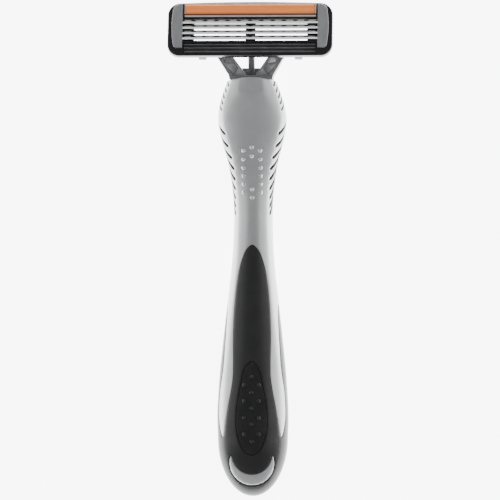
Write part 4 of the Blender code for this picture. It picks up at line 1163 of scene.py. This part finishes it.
def coil_tree():
    """A compression spring along z, its last turns closer together."""
    tree, (_, turns, radius, length, wire, closing, material) = node_group(
        "coil", Turns=5.5, Radius=0.001, Length=0.006, Wire=0.00035, Closing=0.6
    )
    line = turns.add("GeometryNodeCurveSpiral", s0=36, s1=turns, s2=radius, s3=radius, s4=length)
    share = line.add("GeometryNodeSplineParameter")
    shift = (share * (2 * pi)).maths("SINE", share * (2 * pi), 0.0) * closing * length * (-0.5 / pi)
    line = line.add("GeometryNodeSetPosition", Geometry=line, Offset=shift.vector(Z=shift))
    ring = line.add("GeometryNodeCurvePrimitiveCircle", Resolution=16, Radius=wire * 0.5)
    tube = line.add("GeometryNodeCurveToMesh", s0=line, s1=ring)
    tube.socket.node.inputs["Fill Caps"].default_value = True
    return grown_out(tree, tube, material)


def points_on(name, plan, sink):
    """Points this far under the handle's front at these (x, y), each with the way out."""
    flat = flat_front(np.vstack([plan, np.asarray(plan[:1]) + (0.5, 0)]))[:-1]
    mesh = bpy.data.meshes.new(name)
    mesh.from_pydata((skin(flat, np.full(len(flat), sink)) * MM).tolist(), [], [])
    aim = mesh.attributes.new("aim", "FLOAT_VECTOR", "POINT")
    aim.data.foreach_set("vector", facing(turn_of(flat), flat[:, 1]).astype(np.float32).ravel())
    obj = bpy.data.objects.new(name, mesh)
    bpy.context.scene.collection.objects.link(obj)
    return obj


# ---- Pieces of the handle


def grip_depth(p):
    """How far inside the grip's rubber: in its zone and not in the crescent."""
    return np.minimum(GRIP.depth(p), -CRESCENT.depth(p))


def body_inset(p):
    """The lacquered body: sunk under the rubber, notched at the shoulders, edges rounded."""
    grip, rest, groove = grip_depth(p), REST.depth(p), SHOULDER.depth(p)
    edge = -np.maximum(grip, rest)
    inset = np.maximum(rolled(edge), rolled(np.interp(p[:, 0], *END.T) - p[:, 1]))
    above = np.clip((p[:, 1] - np.interp(p[:, 0], *LEDGE.T)) / LEDGE_RISE, 0, 1)
    fade = np.clip((LEDGE[-1, 0] - np.abs(p[:, 0])) / LEDGE_FADE, 0, 1)
    inset = np.maximum(inset, LEDGE_DEPTH * above * fade)
    deep = np.where(grip > rest, RUBBER_DEPTH, REST_DEPTH) + SEAM
    inset = np.where(edge < 0, ROLL + (deep - ROLL) * np.clip(-edge / WALL, 0, 1), inset)
    turn = turn_of(p)
    outward = np.abs(facing(turn, p[:, 1])[:, 0])
    past = np.abs(form(turn, p[:, 1])[:, 0]) - section(p[:, 1])[1] + GROOVE_INSET
    floor = np.clip(past / np.maximum(outward, 0.3), 0, GROOVE_INSET)
    return np.maximum(inset, floor * np.clip(groove / GROOVE_SLOPE, 0, 1))


def grip_inset(p):
    """The grip: sunk under the pad, its edges rounded."""
    pad = PAD_ZONE.depth(p) + SEAM
    inset = np.maximum(rolled(grip_depth(p) - SEAM), rolled(-pad))
    return np.where(pad > 0, ROLL + (PAD_DEPTH + SEAM - ROLL) * np.clip(pad / WALL, 0, 1), inset)


def make_handle():
    """The lacquered body, the rubber on it, and the raised dots."""
    look = bpy.context.scene.razor
    edges = (0, WALL, -ROLL / 3, -ROLL)
    lines = GRIP.lines(*edges) + CRESCENT.lines(*(-e for e in edges)) + REST.lines(*edges)
    lines += [*SHOULDER.lines(0, GROOVE_SLOPE), LEDGE, shifted(LEDGE, LEDGE_RISE)]
    body = skin_piece("handle_shell", everywhere, lines, body_inset, end=END)
    cut(body, plug_box(RUNNING))
    body.data.shade_smooth()
    body.data.set_sharp_from_angle(angle=radians(38))
    finished(body, "handle", "handle_silver", silver_lacquer, "handle_body")

    into = (SEAM, SEAM + ROLL / 3, SEAM + ROLL)
    lines = GRIP.lines(*into) + CRESCENT.lines(*(-i for i in into))
    lines += PAD_ZONE.lines(-SEAM, WALL - SEAM, -SEAM - ROLL / 3, -SEAM - ROLL)
    grip = skin_piece("grip_rubber", lambda p: grip_depth(p) > SEAM, lines, grip_inset, RUBBER_DEPTH)
    finished(grip, "handle", "grip_rubber", black_rubber, "grip_overmould")

    pad = skin_piece(
        "pad_rubber", lambda p: PAD_ZONE.depth(p) > 0, PAD_ZONE.lines(0, ROLL / 3, ROLL),
        lambda p: rolled(PAD_ZONE.depth(p)), PAD_DEPTH,
    )
    finished(pad, "handle", "pad_rubber", pad_rubber, "palm_pad")

    rest = skin_piece(
        "finger_rest_rubber", lambda p: REST.depth(p) > SEAM, REST.lines(*into),
        lambda p: rolled(REST.depth(p) - SEAM), REST_DEPTH,
    )
    finished(rest, "handle", "grip_rubber", rest_rubber, "finger_rest")

    tree = dots_tree()
    for name, middle, sides, x, size, height, uneven, seed, slot, recipe in (
        ("neck_dots", NECK_DOTS_MIDDLE, NECK_DOTS_SIDE, NECK_DOT_X, look.neck_dot, look.neck_dot_height,
         0.02, 3, "handle_silver", bright_silver),
        ("pad_dots", PAD_DOTS_MIDDLE, PAD_DOTS_SIDE, PAD_DOT_X, look.pad_dot, look.pad_dot_height,
         0.03, 5, "pad_rubber", black_rubber),
    ):
        plan = [(0, y) for y in middle] + [(side, y) for side in (-x, x) for y in sides]
        dots = points_on(name, plan, DOT_SINK)
        grow(dots, tree, recipe, Diameter=size, Height=height, Unevenness=uneven, Seed=seed)
        finished(dots, "handle", slot, recipe)


def plug_box(gap, past=3.0):
    """The plug under the yoke, or with a gap the socket that takes it."""
    half_x, half_z = PLUG_HALF + gap, PLUG_HALF_DEPTH + gap
    bm = box_across(-half_x, half_x, (-PLUG_LENGTH - gap, past), (-half_z, half_z))
    bmesh.ops.transform(bm, matrix=PLUNGER, verts=bm.verts)
    return bm


def lathe(profile, matrix, steps=40):
    """A solid of (y, radius) rings turned about y, with a flat disc at each end."""
    turns = np.arange(steps) * 2 * pi / steps
    bm = bmesh.new()
    rings = []
    for y, radius in profile:
        ring = [(radius * cos(a) * MM, y * MM, radius * sin(a) * MM) for a in turns]
        rings.append([bm.verts.new(place) for place in ring])
    for low, high in zip(rings, rings[1:]):
        for i in range(steps):
            j = (i + 1) % steps
            bm.faces.new((low[i], low[j], high[j], high[i]))
    bm.faces.new(rings[0])
    bm.faces.new(rings[-1][::-1])
    bmesh.ops.recalc_face_normals(bm, faces=bm.faces)
    bmesh.ops.transform(bm, matrix=matrix, verts=bm.verts)
    return bm


def rod(low, high, radius, y, z, steps=40):
    """A round bar along x, about this place."""
    return bar(arc((y, z), radius, 0, 2 * pi * (1 - 1 / steps), steps - 1), low, high)


def mirrored_outline(right):
    """The whole outline from its right half."""
    return [*right, *((-x, y) for x, y in reversed(right) if x > 1e-9)]


def ribbon(points, width):
    """A closed outline round a line with corners."""
    p = np.asarray(points, float)
    way = np.diff(p, axis=0)
    way /= np.linalg.norm(way, axis=1, keepdims=True)
    normal = np.stack([-way[:, 1], way[:, 0]], axis=1)
    first, last = normal[:1], normal[-1:]
    middle = normal[1:] + normal[:-1]
    middle /= np.maximum((middle * normal[1:]).sum(1, keepdims=True), 0.3)
    offset = np.vstack([first, middle, last]) * width / 2
    return [tuple(q) for q in np.vstack([p + offset, (p - offset)[::-1]])]


def yoke_blank():
    """The yoke before its cuts: its outline from the front, kept to its outline from the side."""
    y, pivot_y, pivot_z = JOINT_Y, PIVOT.y / MM, PIVOT.z / MM
    foot = np.linspace(0, YOKE_HALF, 9)
    right = [(x, y + JOINT_ARCH * (1 - (x / JOINT_HALF) ** 2) + RUNNING) for x in foot]
    right += [
        (YOKE_WAIST_HALF, y + YOKE_WAIST), (ARM_OUTER_HALF, y + ARM_REACH), (BOSS_OUTER, y + BOSS_REACH),
        (BOSS_OUTER, y + YOKE_REACH), (BOSS_INNER, y + YOKE_REACH), (ARM_INNER_HALF, y + ARM_REACH),
        (CROTCH_HALF, y + CROTCH_REACH), (0, y + CROTCH_REACH),
    ]
    knuckle = arc((pivot_y, pivot_z), BOSS_RADIUS, radians(-50), radians(125), 20)
    side = [(y - 3, YOKE_BACK), (y + YOKE_WAIST, YOKE_BACK), (y + ARM_KNEE, ARM_KNEE_HEIGHT), *knuckle]
    side += [(y + YOKE_WAIST, YOKE_FRONT), (y - 3, YOKE_FRONT)]
    yoke = made("yoke", plate(mirrored_outline(right), -3, 21))
    combined(yoke, "INTERSECT", bar(side, -30.0, 30.0))
    joined(yoke, plug_box(0, 2.0), both(rod, BOSS_OUTER - 3, PIN_REACH, PIN_RADIUS, pivot_y, pivot_z))
    return yoke, knuckle[-1]


def make_yoke():
    """The yoke with its pocket, bore and sunk lines, and in it the plunger and its spring."""
    look = bpy.context.scene.razor
    y = JOINT_Y
    yoke, (top_y, top_z) = yoke_blank()
    pocket = [
        (0, y + POCKET_REACH), (CROTCH_HALF, y + POCKET_REACH), (POCKET_HALF, y + ARM_REACH),
        (POCKET_HALF, y + YOKE_REACH), (0, y + YOKE_REACH),
    ]
    cut(yoke, plate(mirrored_outline(pocket), POCKET_FLOOR, 24))
    bore = [(-BORE_DEPTH, AXIS), (-BORE_DEPTH, BORE_RADIUS), (0, BORE_RADIUS)]
    bore += [(0, BORE_NECK), (7.0, BORE_NECK), (7.0, AXIS)]
    cut(yoke, lathe(bore, PLUNGER))
    softened(yoke, 0.09)
    slope = np.arctan2(top_z - YOKE_FRONT, top_y - y - YOKE_WAIST)
    face = Matrix.Translation(Vector((0, y + YOKE_WAIST, YOKE_FRONT)) * MM) @ Matrix.Rotation(slope, 4, "X")
    for line in YOKE_RELIEF:
        for sign in (1, -1):
            drawn = [(x * sign, (rise - YOKE_WAIST) / cos(slope)) for x, rise in line]
            tool = plate(ribbon(drawn, look.relief_width), -look.relief_depth, 1)
            bmesh.ops.transform(tool, matrix=face, verts=tool.verts)
            cut(yoke, tool)
    yoke.data.set_sharp_from_angle(angle=radians(40))
    finished(yoke, "handle", "yoke_grey", yoke_plastic, "pivot_yoke")

    tip = CAM_PLACE + CAM_CONTACT - SEAM
    turns = np.linspace(0, pi / 2, 8)[:-1]
    nose = [(tip - PLUNGER_TIP + PLUNGER_TIP * sin(a), PLUNGER_TIP * cos(a)) for a in turns]
    profile = [*PLUNGER_REAR, (tip - 1.45, PLUNGER_RADIUS), (tip - 1.3, 0.87), *nose, (tip, AXIS)]
    plunger = made("plunger_rod", lathe(profile, PLUNGER))
    finished(plunger, "plunger", "yoke_grey", yoke_plastic, "plunger")

    low, high = -BORE_DEPTH + SEAM + SPRING_WIRE / 2, -1.1 - SEAM - SPRING_WIRE / 2
    spring = made("return_spring", bmesh.new())
    grow(
        spring, coil_tree(), spring_wire, Turns=look.spring_turns, Radius=SPRING_RADIUS * MM,
        Length=(high - low) * MM, Wire=SPRING_WIRE * MM,
    )
    upright = Matrix.Translation((0, low * MM, 0)) @ Matrix.Rotation(-pi / 2, 4, "X")
    spring.data.transform(PLUNGER @ upright)
    finished(spring, "handle", "spring_steel", spring_wire, "plunger_spring")
    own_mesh(spring)


# ---- Pieces of the head


def leg_place(edge):
    """Where the upright leg of the support under this blade's edge lies, up the face."""
    outer = edge + BLADE_WIDTH * cos(BLADE_SLOPE) - WELD_GAP
    return outer - SUPPORT_THICK, outer


def cam_profile():
    """An involute of the circle round the pivot that the plunger's axis touches."""
    along = Vector((cos(PLUNGER_SLOPE), sin(PLUNGER_SLOPE)))
    below = Vector((sin(PLUNGER_SLOPE), -cos(PLUNGER_SLOPE)))
    curve = []
    for angle in np.linspace(HEAD_SWING * 1.15, -HEAD_SWING / 6, 25):
        contact = below * CAM_RADIUS + along * (CAM_CONTACT - CAM_RADIUS * angle)
        contact.rotate(Matrix.Rotation(angle, 2))
        u = contact.x * cos(HEAD_TILT) - contact.y * sin(HEAD_TILT)
        v = contact.x * sin(HEAD_TILT) + contact.y * cos(HEAD_TILT)
        curve.append((u + PIVOT_U, v + PIVOT_V))
    foot = curve[-1]
    return curve + [
        (foot[0] + 1.0, foot[1] + 0.2), (BAY_CAP - 0.4, BACK_ROOT), (curve[0][0] - 0.4, BACK_ROOT)
    ]


def lug_bar(low, high):
    """A lug on the head's back, round under the pivot."""
    radius = PIN_RADIUS + RUNNING + LUG_WALL
    outline = arc((PIVOT_U, PIVOT_V), radius, -pi, 0, 28)
    return bar(outline + [(PIVOT_U + radius, BACK_ROOT), (PIVOT_U - radius, BACK_ROOT)], low, high)


def end_cap_outline(inset=0.0, steps=24):
    """The right end cap on the face: straight towards the blades, bulged outwards."""
    inner, outer = CAP_INNER + inset, CAP_OUTER - inset
    low, high = CAP_LOW + inset, CAP_HIGH - inset
    line = [(inner, low)]
    for t in np.linspace(0, 1, steps + 1):
        y = low + (high - low) * t
        x = outer - CAP_BULGE * (2 * t - 1) ** 2
        for share, reach in ((y - low) / CAP_FOOT[0], CAP_FOOT[1]), ((high - y) / CAP_HEAD[0], CAP_HEAD[1]):
            if share < 1:
                x -= reach * (1 - sqrt(max(1 - (1 - share) ** 2, 0)))
        line.append((x, y))
    return line + [(inner, high)]


def rims(outline, low, high, roll, rows=4):
    """Levels of a plate whose upper edge is rounded: outline(inset) at heights."""
    levels = [(outline(0.0), low)]
    for a in np.linspace(0, pi / 2, rows + 1):
        levels.append((outline(roll * (1 - cos(a))), high - roll * (1 - sin(a))))
    return levels


def make_housing():
    """The head's frame: the blades' bay, the seats round it, the lugs and the cam."""
    levels = []
    for a in np.linspace(0, pi / 2, 7):
        height = HEAD_BACK + BACK_ROUND * (1 - cos(a))
        levels.append((head_outline(BACK_ROUND * (1 - sin(a)), HEAD_TUCK), height))
    levels += rims(head_outline, TUCK_FROM, HEAD_RIM, FACE_ROUND, 6)
    shell = made("housing", stack(levels))
    cut(shell, box_across(-BAY_HALF, BAY_HALF, (BAY_GUARD, BAY_CAP), (BAY_FLOOR, OVER)))
    window = ((BAY_GUARD + BAY_STEP, BAY_CAP - BAY_STEP), (HEAD_BACK - OVER, WINDOW_ROOF))
    cut(shell, both(box_across, CENTRE_RIB_HALF, COMB_START, *window))
    seat = ((BAY_GUARD + 1.5 * BAY_STEP, BAY_CAP - 1.5 * BAY_STEP), (COMB_FLOOR, WINDOW_ROOF))
    cut(shell, both(box_across, COMB_START - BAY_STEP, BAY_HALF - BAY_STEP, *seat))
    for edge in EDGES:
        low, high = leg_place(edge)
        slot = ((low - RUNNING, high + RUNNING), (SUPPORT_FOOT - 0.45, OVER))
        cut(shell, both(box_across, BAY_HALF - BAY_STEP, BAY_HALF + TAB_REACH, *slot))
    cut(
        shell,
        box_across(-SHELF_HALF, SHELF_HALF, (TRAY_LOW, TRAY_HIGH), (TRAY_FLOOR, OVER)),
        box_across(-SHELF_HALF, SHELF_HALF, (GUARD_LOW, GUARD_HIGH), (GUARD_FLOOR, OVER)),
    )
    for sign in (1, -1):
        hollow = [(x * sign, y) for x, y in end_cap_outline(-SEAM)]
        cut(shell, plate(hollow, CAP_FLOOR, OVER))
    past_bosses = BOSS_OUTER + 0.15
    notch = ((GUARD_EDGE - OVER, -2.45), (HEAD_BACK - OVER, -3.55))
    cut(shell, box_across(-past_bosses, past_bosses, *notch))
    joined(shell, both(lug_bar, LUG_START, LUG_START + LUG_WIDTH))
    cut(shell, both(pivot_bore, BOSS_OUTER, LUG_START + LUG_WIDTH + 0.1, PIN_RADIUS + RUNNING))
    joined(shell, bar(cam_profile(), -CAM_HALF, CAM_HALF))
    softened(shell, 0.05, 2, 40, FACE)
    finished(shell, "cartridge", "housing_black", black_gloss, "cartridge_housing")


def pivot_bore(low, high, radius):
    """A round bar on the pivot, in the head's frame."""
    return rod(low, high, radius, PIVOT_U, PIVOT_V)


def make_guard():
    """The rubber guard: a base with long rounded fins."""
    look = bpy.context.scene.razor
    low, high, floor = GUARD_LOW + SEAM, GUARD_HIGH - SEAM, GUARD_FLOOR + SEAM
    count = look.guard_fins
    pitch, half = (high - low) / count, SHELF_HALF - SEAM
    start, end = low + pitch * FIN_FOOT, low + pitch * FIN_HEAD
    crest, root = (start + end) / 2, FIN_VALLEY - FIN_ROOT
    fin = [(end, root), (start, root), (start, FIN_VALLEY)]
    fin += arc((crest, FIN_TOP - FIN_TIP), FIN_TIP, radians(165), radians(15), 8)
    fin += [(end, FIN_VALLEY)]
    guard = made("guard_rubber", bar(fin, FIN_END - half, half - FIN_END))
    softened(guard, 0.03)
    grow(guard, row_tree(), guard_rubber, Count=count, Pitch=pitch * MM)
    base = bar(rounded(low, high, floor, FIN_VALLEY + 0.03, 0.08, 3), -half, half)
    base.from_mesh(guard.data)
    base.to_mesh(guard.data)
    base.free()
    guard.data.shade_smooth()
    guard.data.set_sharp_from_angle(angle=radians(40))
    guard.data.transform(FACE)
    finished(guard, "cartridge", "guard_rubber", guard_rubber, "guard_fins")


def make_strip():
    """The clear tray, and the soap strip with its crowned top."""
    low, high = TRAY_LOW + SEAM, TRAY_HIGH - SEAM
    half = SHELF_HALF - SEAM

    def rim(inset):
        return rounded(inset - half, half - inset, low + inset, high - inset, 0.35 - inset, 6)

    tray = made("clear_tray", stack(rims(rim, TRAY_FLOOR + SEAM, TRAY_RIM, 0.12)))
    inside = (low + TRAY_FRONT, high - TRAY_WALL)
    well = rounded(TRAY_WALL - half, half - TRAY_WALL, *inside, 0.25, 6)
    cut(tray, plate(well, -STRIP_DEPTH - SEAM, 3))
    softened(tray, 0.04, 2, 40, FACE)
    finished(tray, "cartridge", "tray_clear", clear_tray, "strip_tray")

    half -= TRAY_WALL + SEAM
    low, high = inside[0] + SEAM, inside[1] - SEAM

    def edge(inset):
        corner = max(0.42 - inset, 0.12)
        return rounded(inset - half, half - inset, low + inset, high - inset, corner, 6)

    shoulder = 0.32
    levels = [(edge(0), -STRIP_DEPTH), (edge(0), -shoulder)]
    for a in np.linspace(0, pi / 2, 9)[1:]:
        levels.append((edge(0.45 * (1 - cos(a))), -shoulder + (shoulder + STRIP_CROWN) * sin(a)))
    strip = made("soap_strip", stack(levels))
    softened(strip, 0, matrix=FACE)
    finished(strip, "cartridge", "strip_orange", lubricant, "lubricating_strip")


def make_caps():
    """The end caps, each with the comb beside it."""
    for name, sign in (("right", 1), ("left", -1)):
        def outline(inset):
            return [(x * sign, y) for x, y in end_cap_outline(inset)]

        cap = made(f"cap_{name}", stack(rims(outline, CAP_FLOOR + SEAM, CAP_FACE, 0.22, 5)))
        reach = BLADE_HALF + TAB_REACH
        cut(cap, box_across(-reach, reach, (BAY_GUARD, BAY_CAP), (CAP_FLOOR - OVER, 0.06)))
        softened(cap, 0.05, 2, 45, FACE)
        finished(cap, "cartridge", "cap_grey", cap_plastic, f"end_cap_{name}")
        make_comb(name, sign)


def make_comb(name, sign):
    """The comb under the blades' ends: a base, and a finger for each blade."""
    start, end = sorted((sign * COMB_START, sign * (BAY_HALF - COMB_GAP)))
    floor, top = COMB_FLOOR + SEAM, SUPPORT_FOOT - SEAM
    base = box_across(start, end, (BAY_GUARD + COMB_GAP, BAY_CAP - COMB_GAP), (floor, floor + COMB_THICK))
    base = softened(made(f"comb_{name}", base), 0.04, matrix=FACE)
    finished(base, "cartridge", "comb_black", comb_plastic, f"spring_comb_{name}")
    out, root = FACE.to_3x3() @ Vector((0, 0, 1)), floor + COMB_THICK / 2
    for i, edge in enumerate(EDGES):
        low, high = leg_place(edge)
        foot = low - FINGER_LEAN
        profile = [
            (foot, root), (foot + COMB_THICK * 1.6, root), (high, top - COMB_THICK), (high, top), (low, top)
        ]
        finger = made(f"comb_{name}_finger_{i + 1}", bar(profile, start + 0.3, end - 0.3))
        softened(finger, 0.03, matrix=FACE)
        finished(finger, "cartridge", "comb_black", comb_plastic)
        FACE @ Vector((0, low * MM, root * MM))
        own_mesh(finger)
        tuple(out)


def make_blades():
    """Ground blades with a finer second bevel, and the marks of their welds."""
    look = bpy.context.scene.razor
    spots = spots_tree()
    half = BLADE_HALF_THICK
    for i, edge in enumerate(EDGES):
        place = FACE @ Matrix.Translation((0, edge * MM, 0)) @ Matrix.Rotation(-BLADE_SLOPE, 4, "X")
        profile = [
            *BLADE_TIP, (BLADE_BEVEL, half), (BLADE_WIDTH - 0.02, half), (BLADE_WIDTH, half - 0.02),
            (BLADE_WIDTH, 0.02 - half), (BLADE_WIDTH - 0.02, -half), (BLADE_BEVEL, -half),
            *((y, -z) for y, z in reversed(BLADE_TIP)),
        ]
        blade = made(f"ground_blade_{i + 1}", bar(profile, -BLADE_HALF, BLADE_HALF), 3)
        blade.data.transform(place)
        body = f"blade_unit_{i + 1}"
        finished(blade, body, "blade_steel", blade_steel, f"blade_{i + 1}")
        # the bevel faces get the same steel painted lighter: a painted highlight
        blade.data.materials.append(finish_of(bevel_steel))
        front = place.to_3x3() @ Vector((0, 0, 1))
        for polygon in blade.data.polygons:
            middle = place.inverted() @ polygon.center
            if middle.y < BLADE_BEVEL * MM and polygon.normal.dot(front) > 0:
                polygon.material_index = 1
        marks = made(f"weld_marks_{i + 1}", bmesh.new())
        grow(
            marks, spots, weld_mark, Count=look.weld_marks, Pitch=look.weld_pitch,
            Length=look.weld_length, Breadth=WELD_BREADTH * MM, Height=WELD_HEIGHT * MM,
            Unevenness=0.06, Seed=i,
        )
        marks.data.transform(place @ Matrix.Translation((0, WELD_LINE * MM, half * MM)))
        finished(marks, body, "blade_steel", weld_mark)
        support = frame["nodes"][f"blade_support_{i + 1}"]
        support.data.materials.clear()
        support.data.materials.append(finish_of(support_steel))


# ---- The studio


def make_studio():
    """The room's light, the floor, the lamps and the camera."""
    look = bpy.context.scene.razor
    scene = bpy.context.scene
    world = bpy.data.worlds.new("studio")
    world.use_nodes = True
    sky = world.node_tree.nodes["Background"].inputs
    sky["Color"].default_value = (*look.sky, 1)
    sky["Strength"].default_value = look.sky_strength
    scene.world = world

    mesh = bpy.data.meshes.new("floor")
    corners = [(x * FLOOR_HALF, y * FLOOR_HALF, 0) for x, y in ((-1, -1), (1, -1), (1, 1), (-1, 1))]
    mesh.from_pydata(corners, [], [(0, 1, 2, 3)])
    mesh.materials.append(finish_of(pale_floor))
    floor = bpy.data.objects.new("floor", mesh)
    scene.collection.objects.link(floor)

    for name, place, wide, tall, power in LIGHTS:
        data = bpy.data.lights.new(name, "AREA")
        data.shape, data.size, data.size_y = "RECTANGLE", wide, tall
        data.energy = power * look.light_strength
        lamp = bpy.data.objects.new(name, data)
        lamp.location = place
        lamp.rotation_euler = (LOOK_AT - Vector(place)).to_track_quat("-Z", "Y").to_euler()
        scene.collection.objects.link(lamp)

    lens = bpy.data.cameras.new("camera")
    lens.lens, lens.sensor_width, lens.clip_start = look.lens, 36.0, 0.01
    camera = bpy.data.objects.new("camera", lens)
    lean, reach = look.view_lean, look.view_distance
    camera.location = (sin(lean) * reach, 0, LOOK_AT.z + cos(lean) * reach)
    camera.rotation_euler = (0, lean, 0)
    scene.collection.objects.link(camera)
    scene.camera = camera


# ---- The add-on


def size(name, description, default, unit="LENGTH", low=0.0):
    return FloatProperty(
        name=name, description=description, default=default, min=low, unit=unit, precision=4
    )


def colour(name, description, default):
    return FloatVectorProperty(
        name=name, description=description, default=default, size=3, subtype="COLOR", min=0, max=1
    )


class RazorLook(bpy.types.PropertyGroup):
    """The razor's finishes and fine details, and the studio"""

    silver: colour("Silver", "Lacquer of the handle", (0.42, 0.425, 0.435))
    silver_roughness: size("Silver roughness", "How dull the lacquer is", 0.30, "NONE")
    rubber: colour("Rubber", "Grip and finger rest", (0.007, 0.007, 0.0075))
    housing: colour("Housing", "Gloss black of the head", (0.004, 0.004, 0.005))
    caps: colour("End caps", "Grey of the end caps", (0.215, 0.219, 0.225))
    yoke: colour("Yoke", "Grey of the yoke and the plunger", (0.165, 0.168, 0.173))
    tray: colour("Tray", "Frosted tray of the strip", (0.70, 0.62, 0.58))
    # the colour of the painted dark-red band of shade on the tray under the strip
    painted_shade: colour("Tray stain", "Tray where the strip shines through it", (0.075, 0.010, 0.005))
    strip: colour("Strip", "Soap strip", (1.0, 0.30, 0.060))
    blades: colour("Blades", "Blade steel", (0.20, 0.202, 0.205))
    scorch: colour("Scorch", "Weld marks on the blades", (0.010, 0.010, 0.011))
    floor: colour("Floor", "Sweep under the razor", (0.90, 0.90, 0.90))
    floor_glow: size("Floor glow", "How strongly the floor shines", 8.5, "NONE")
    neck_dot: size("Neck dots", "Width of the raised dots on the neck", 1.2 * MM)
    neck_dot_height: size("Neck dot height", "How far the neck's dots stand out", 0.42 * MM)
    pad_dot: size("Pad dots", "Width of the raised dots on the pad", 1.15 * MM)
    pad_dot_height: size("Pad dot height", "How far the pad's dots stand out", 0.32 * MM)
    relief_width: size("Relief width", "Lines sunk in the yoke's arms", 0.16, "NONE")
    relief_depth: size("Relief depth", "How deep those lines are", 0.16, "NONE")
    spring_turns: size("Spring turns", "Coils of the return spring", 5.5, "NONE")
    guard_fins: IntProperty(name="Guard fins", description="Fins across the guard", default=3, min=1)
    weld_marks: IntProperty(name="Weld marks", description="Welds along each blade", default=13, min=1)
    weld_pitch: size("Weld pitch", "From one weld to the next", 3.0 * MM)
    weld_length: size("Weld length", "Along the blade", 1.35 * MM)
    sky: colour("Sky", "Colour of the room", (1.0, 1.0, 1.0))
    sky_strength: size("Sky strength", "Light from the room", 0.55, "NONE")
    light_strength: size("Light strength", "Of all the lamps together", 1.0, "NONE")
    lens: size("Lens", "Focal length in mm", 270.7, "NONE")
    view_lean: size("View lean", "How far the camera leans to the right", radians(3.2), "ROTATION")
    view_distance: size("View distance", "From the camera to the razor's front", 1.0)


class RAZOR_OT_handle(bpy.types.Operator):
    """Builds the lacquered handle with its rubber grip, palm pad, finger rest and dots"""

    bl_idname, bl_label = "razor.handle", "Handle"
    bl_options = {"REGISTER", "UNDO"}

    def execute(self, context):
        make_handle()
        return {"FINISHED"}


class RAZOR_OT_yoke(bpy.types.Operator):
    """Builds the forked yoke, and the sprung plunger that turns the head back"""

    bl_idname, bl_label = "razor.yoke", "Yoke and plunger"
    bl_options = {"REGISTER", "UNDO"}

    def execute(self, context):
        make_yoke()
        return {"FINISHED"}


class RAZOR_OT_housing(bpy.types.Operator):
    """Builds the cartridge's frame with its lugs and its cam"""

    bl_idname, bl_label = "razor.housing", "Housing"
    bl_options = {"REGISTER", "UNDO"}

    def execute(self, context):
        make_housing()
        return {"FINISHED"}


class RAZOR_OT_guard(bpy.types.Operator):
    """Builds the rubber guard with its fins"""

    bl_idname, bl_label = "razor.guard", "Guard"
    bl_options = {"REGISTER", "UNDO"}

    def execute(self, context):
        make_guard()
        return {"FINISHED"}


class RAZOR_OT_strip(bpy.types.Operator):
    """Builds the soap strip and its clear tray"""

    bl_idname, bl_label = "razor.strip", "Strip"
    bl_options = {"REGISTER", "UNDO"}

    def execute(self, context):
        make_strip()
        return {"FINISHED"}


class RAZOR_OT_caps(bpy.types.Operator):
    """Builds the end caps, and the springy combs beside them"""

    bl_idname, bl_label = "razor.caps", "End caps and combs"
    bl_options = {"REGISTER", "UNDO"}

    def execute(self, context):
        make_caps()
        return {"FINISHED"}


class RAZOR_OT_blades(bpy.types.Operator):
    """Builds the blades with their weld marks"""

    bl_idname, bl_label = "razor.blades", "Blades"
    bl_options = {"REGISTER", "UNDO"}

    def execute(self, context):
        make_blades()
        return {"FINISHED"}


class RAZOR_OT_studio(bpy.types.Operator):
    """Sets up the floor, the lamps and the camera"""

    bl_idname, bl_label = "razor.studio", "Studio"
    bl_options = {"REGISTER", "UNDO"}

    def execute(self, context):
        make_studio()
        return {"FINISHED"}


STEPS = (
    RAZOR_OT_handle, RAZOR_OT_yoke, RAZOR_OT_housing, RAZOR_OT_guard, RAZOR_OT_strip, RAZOR_OT_caps,
    RAZOR_OT_blades, RAZOR_OT_studio,
)


class RAZOR_PT_panel(bpy.types.Panel):
    bl_label, bl_category = "Razor", "Razor"
    bl_space_type, bl_region_type = "VIEW_3D", "UI"

    def draw(self, context):
        for name in RazorLook.__annotations__:
            self.layout.prop(context.scene.razor, name)
        for step in STEPS:
            self.layout.operator(step.bl_idname)


def register():
    for cls in (RazorLook, *STEPS, RAZOR_PT_panel):
        bpy.utils.register_class(cls)
    bpy.types.Scene.razor = PointerProperty(type=RazorLook)


def unregister():
    del bpy.types.Scene.razor
    for cls in reversed((RazorLook, *STEPS, RAZOR_PT_panel)):
        bpy.utils.unregister_class(cls)


def main():
    register()
    for step in STEPS:
        group, name = step.bl_idname.split(".")
        getattr(getattr(bpy.ops, group), name)()


if __name__ == "__main__":
    main()
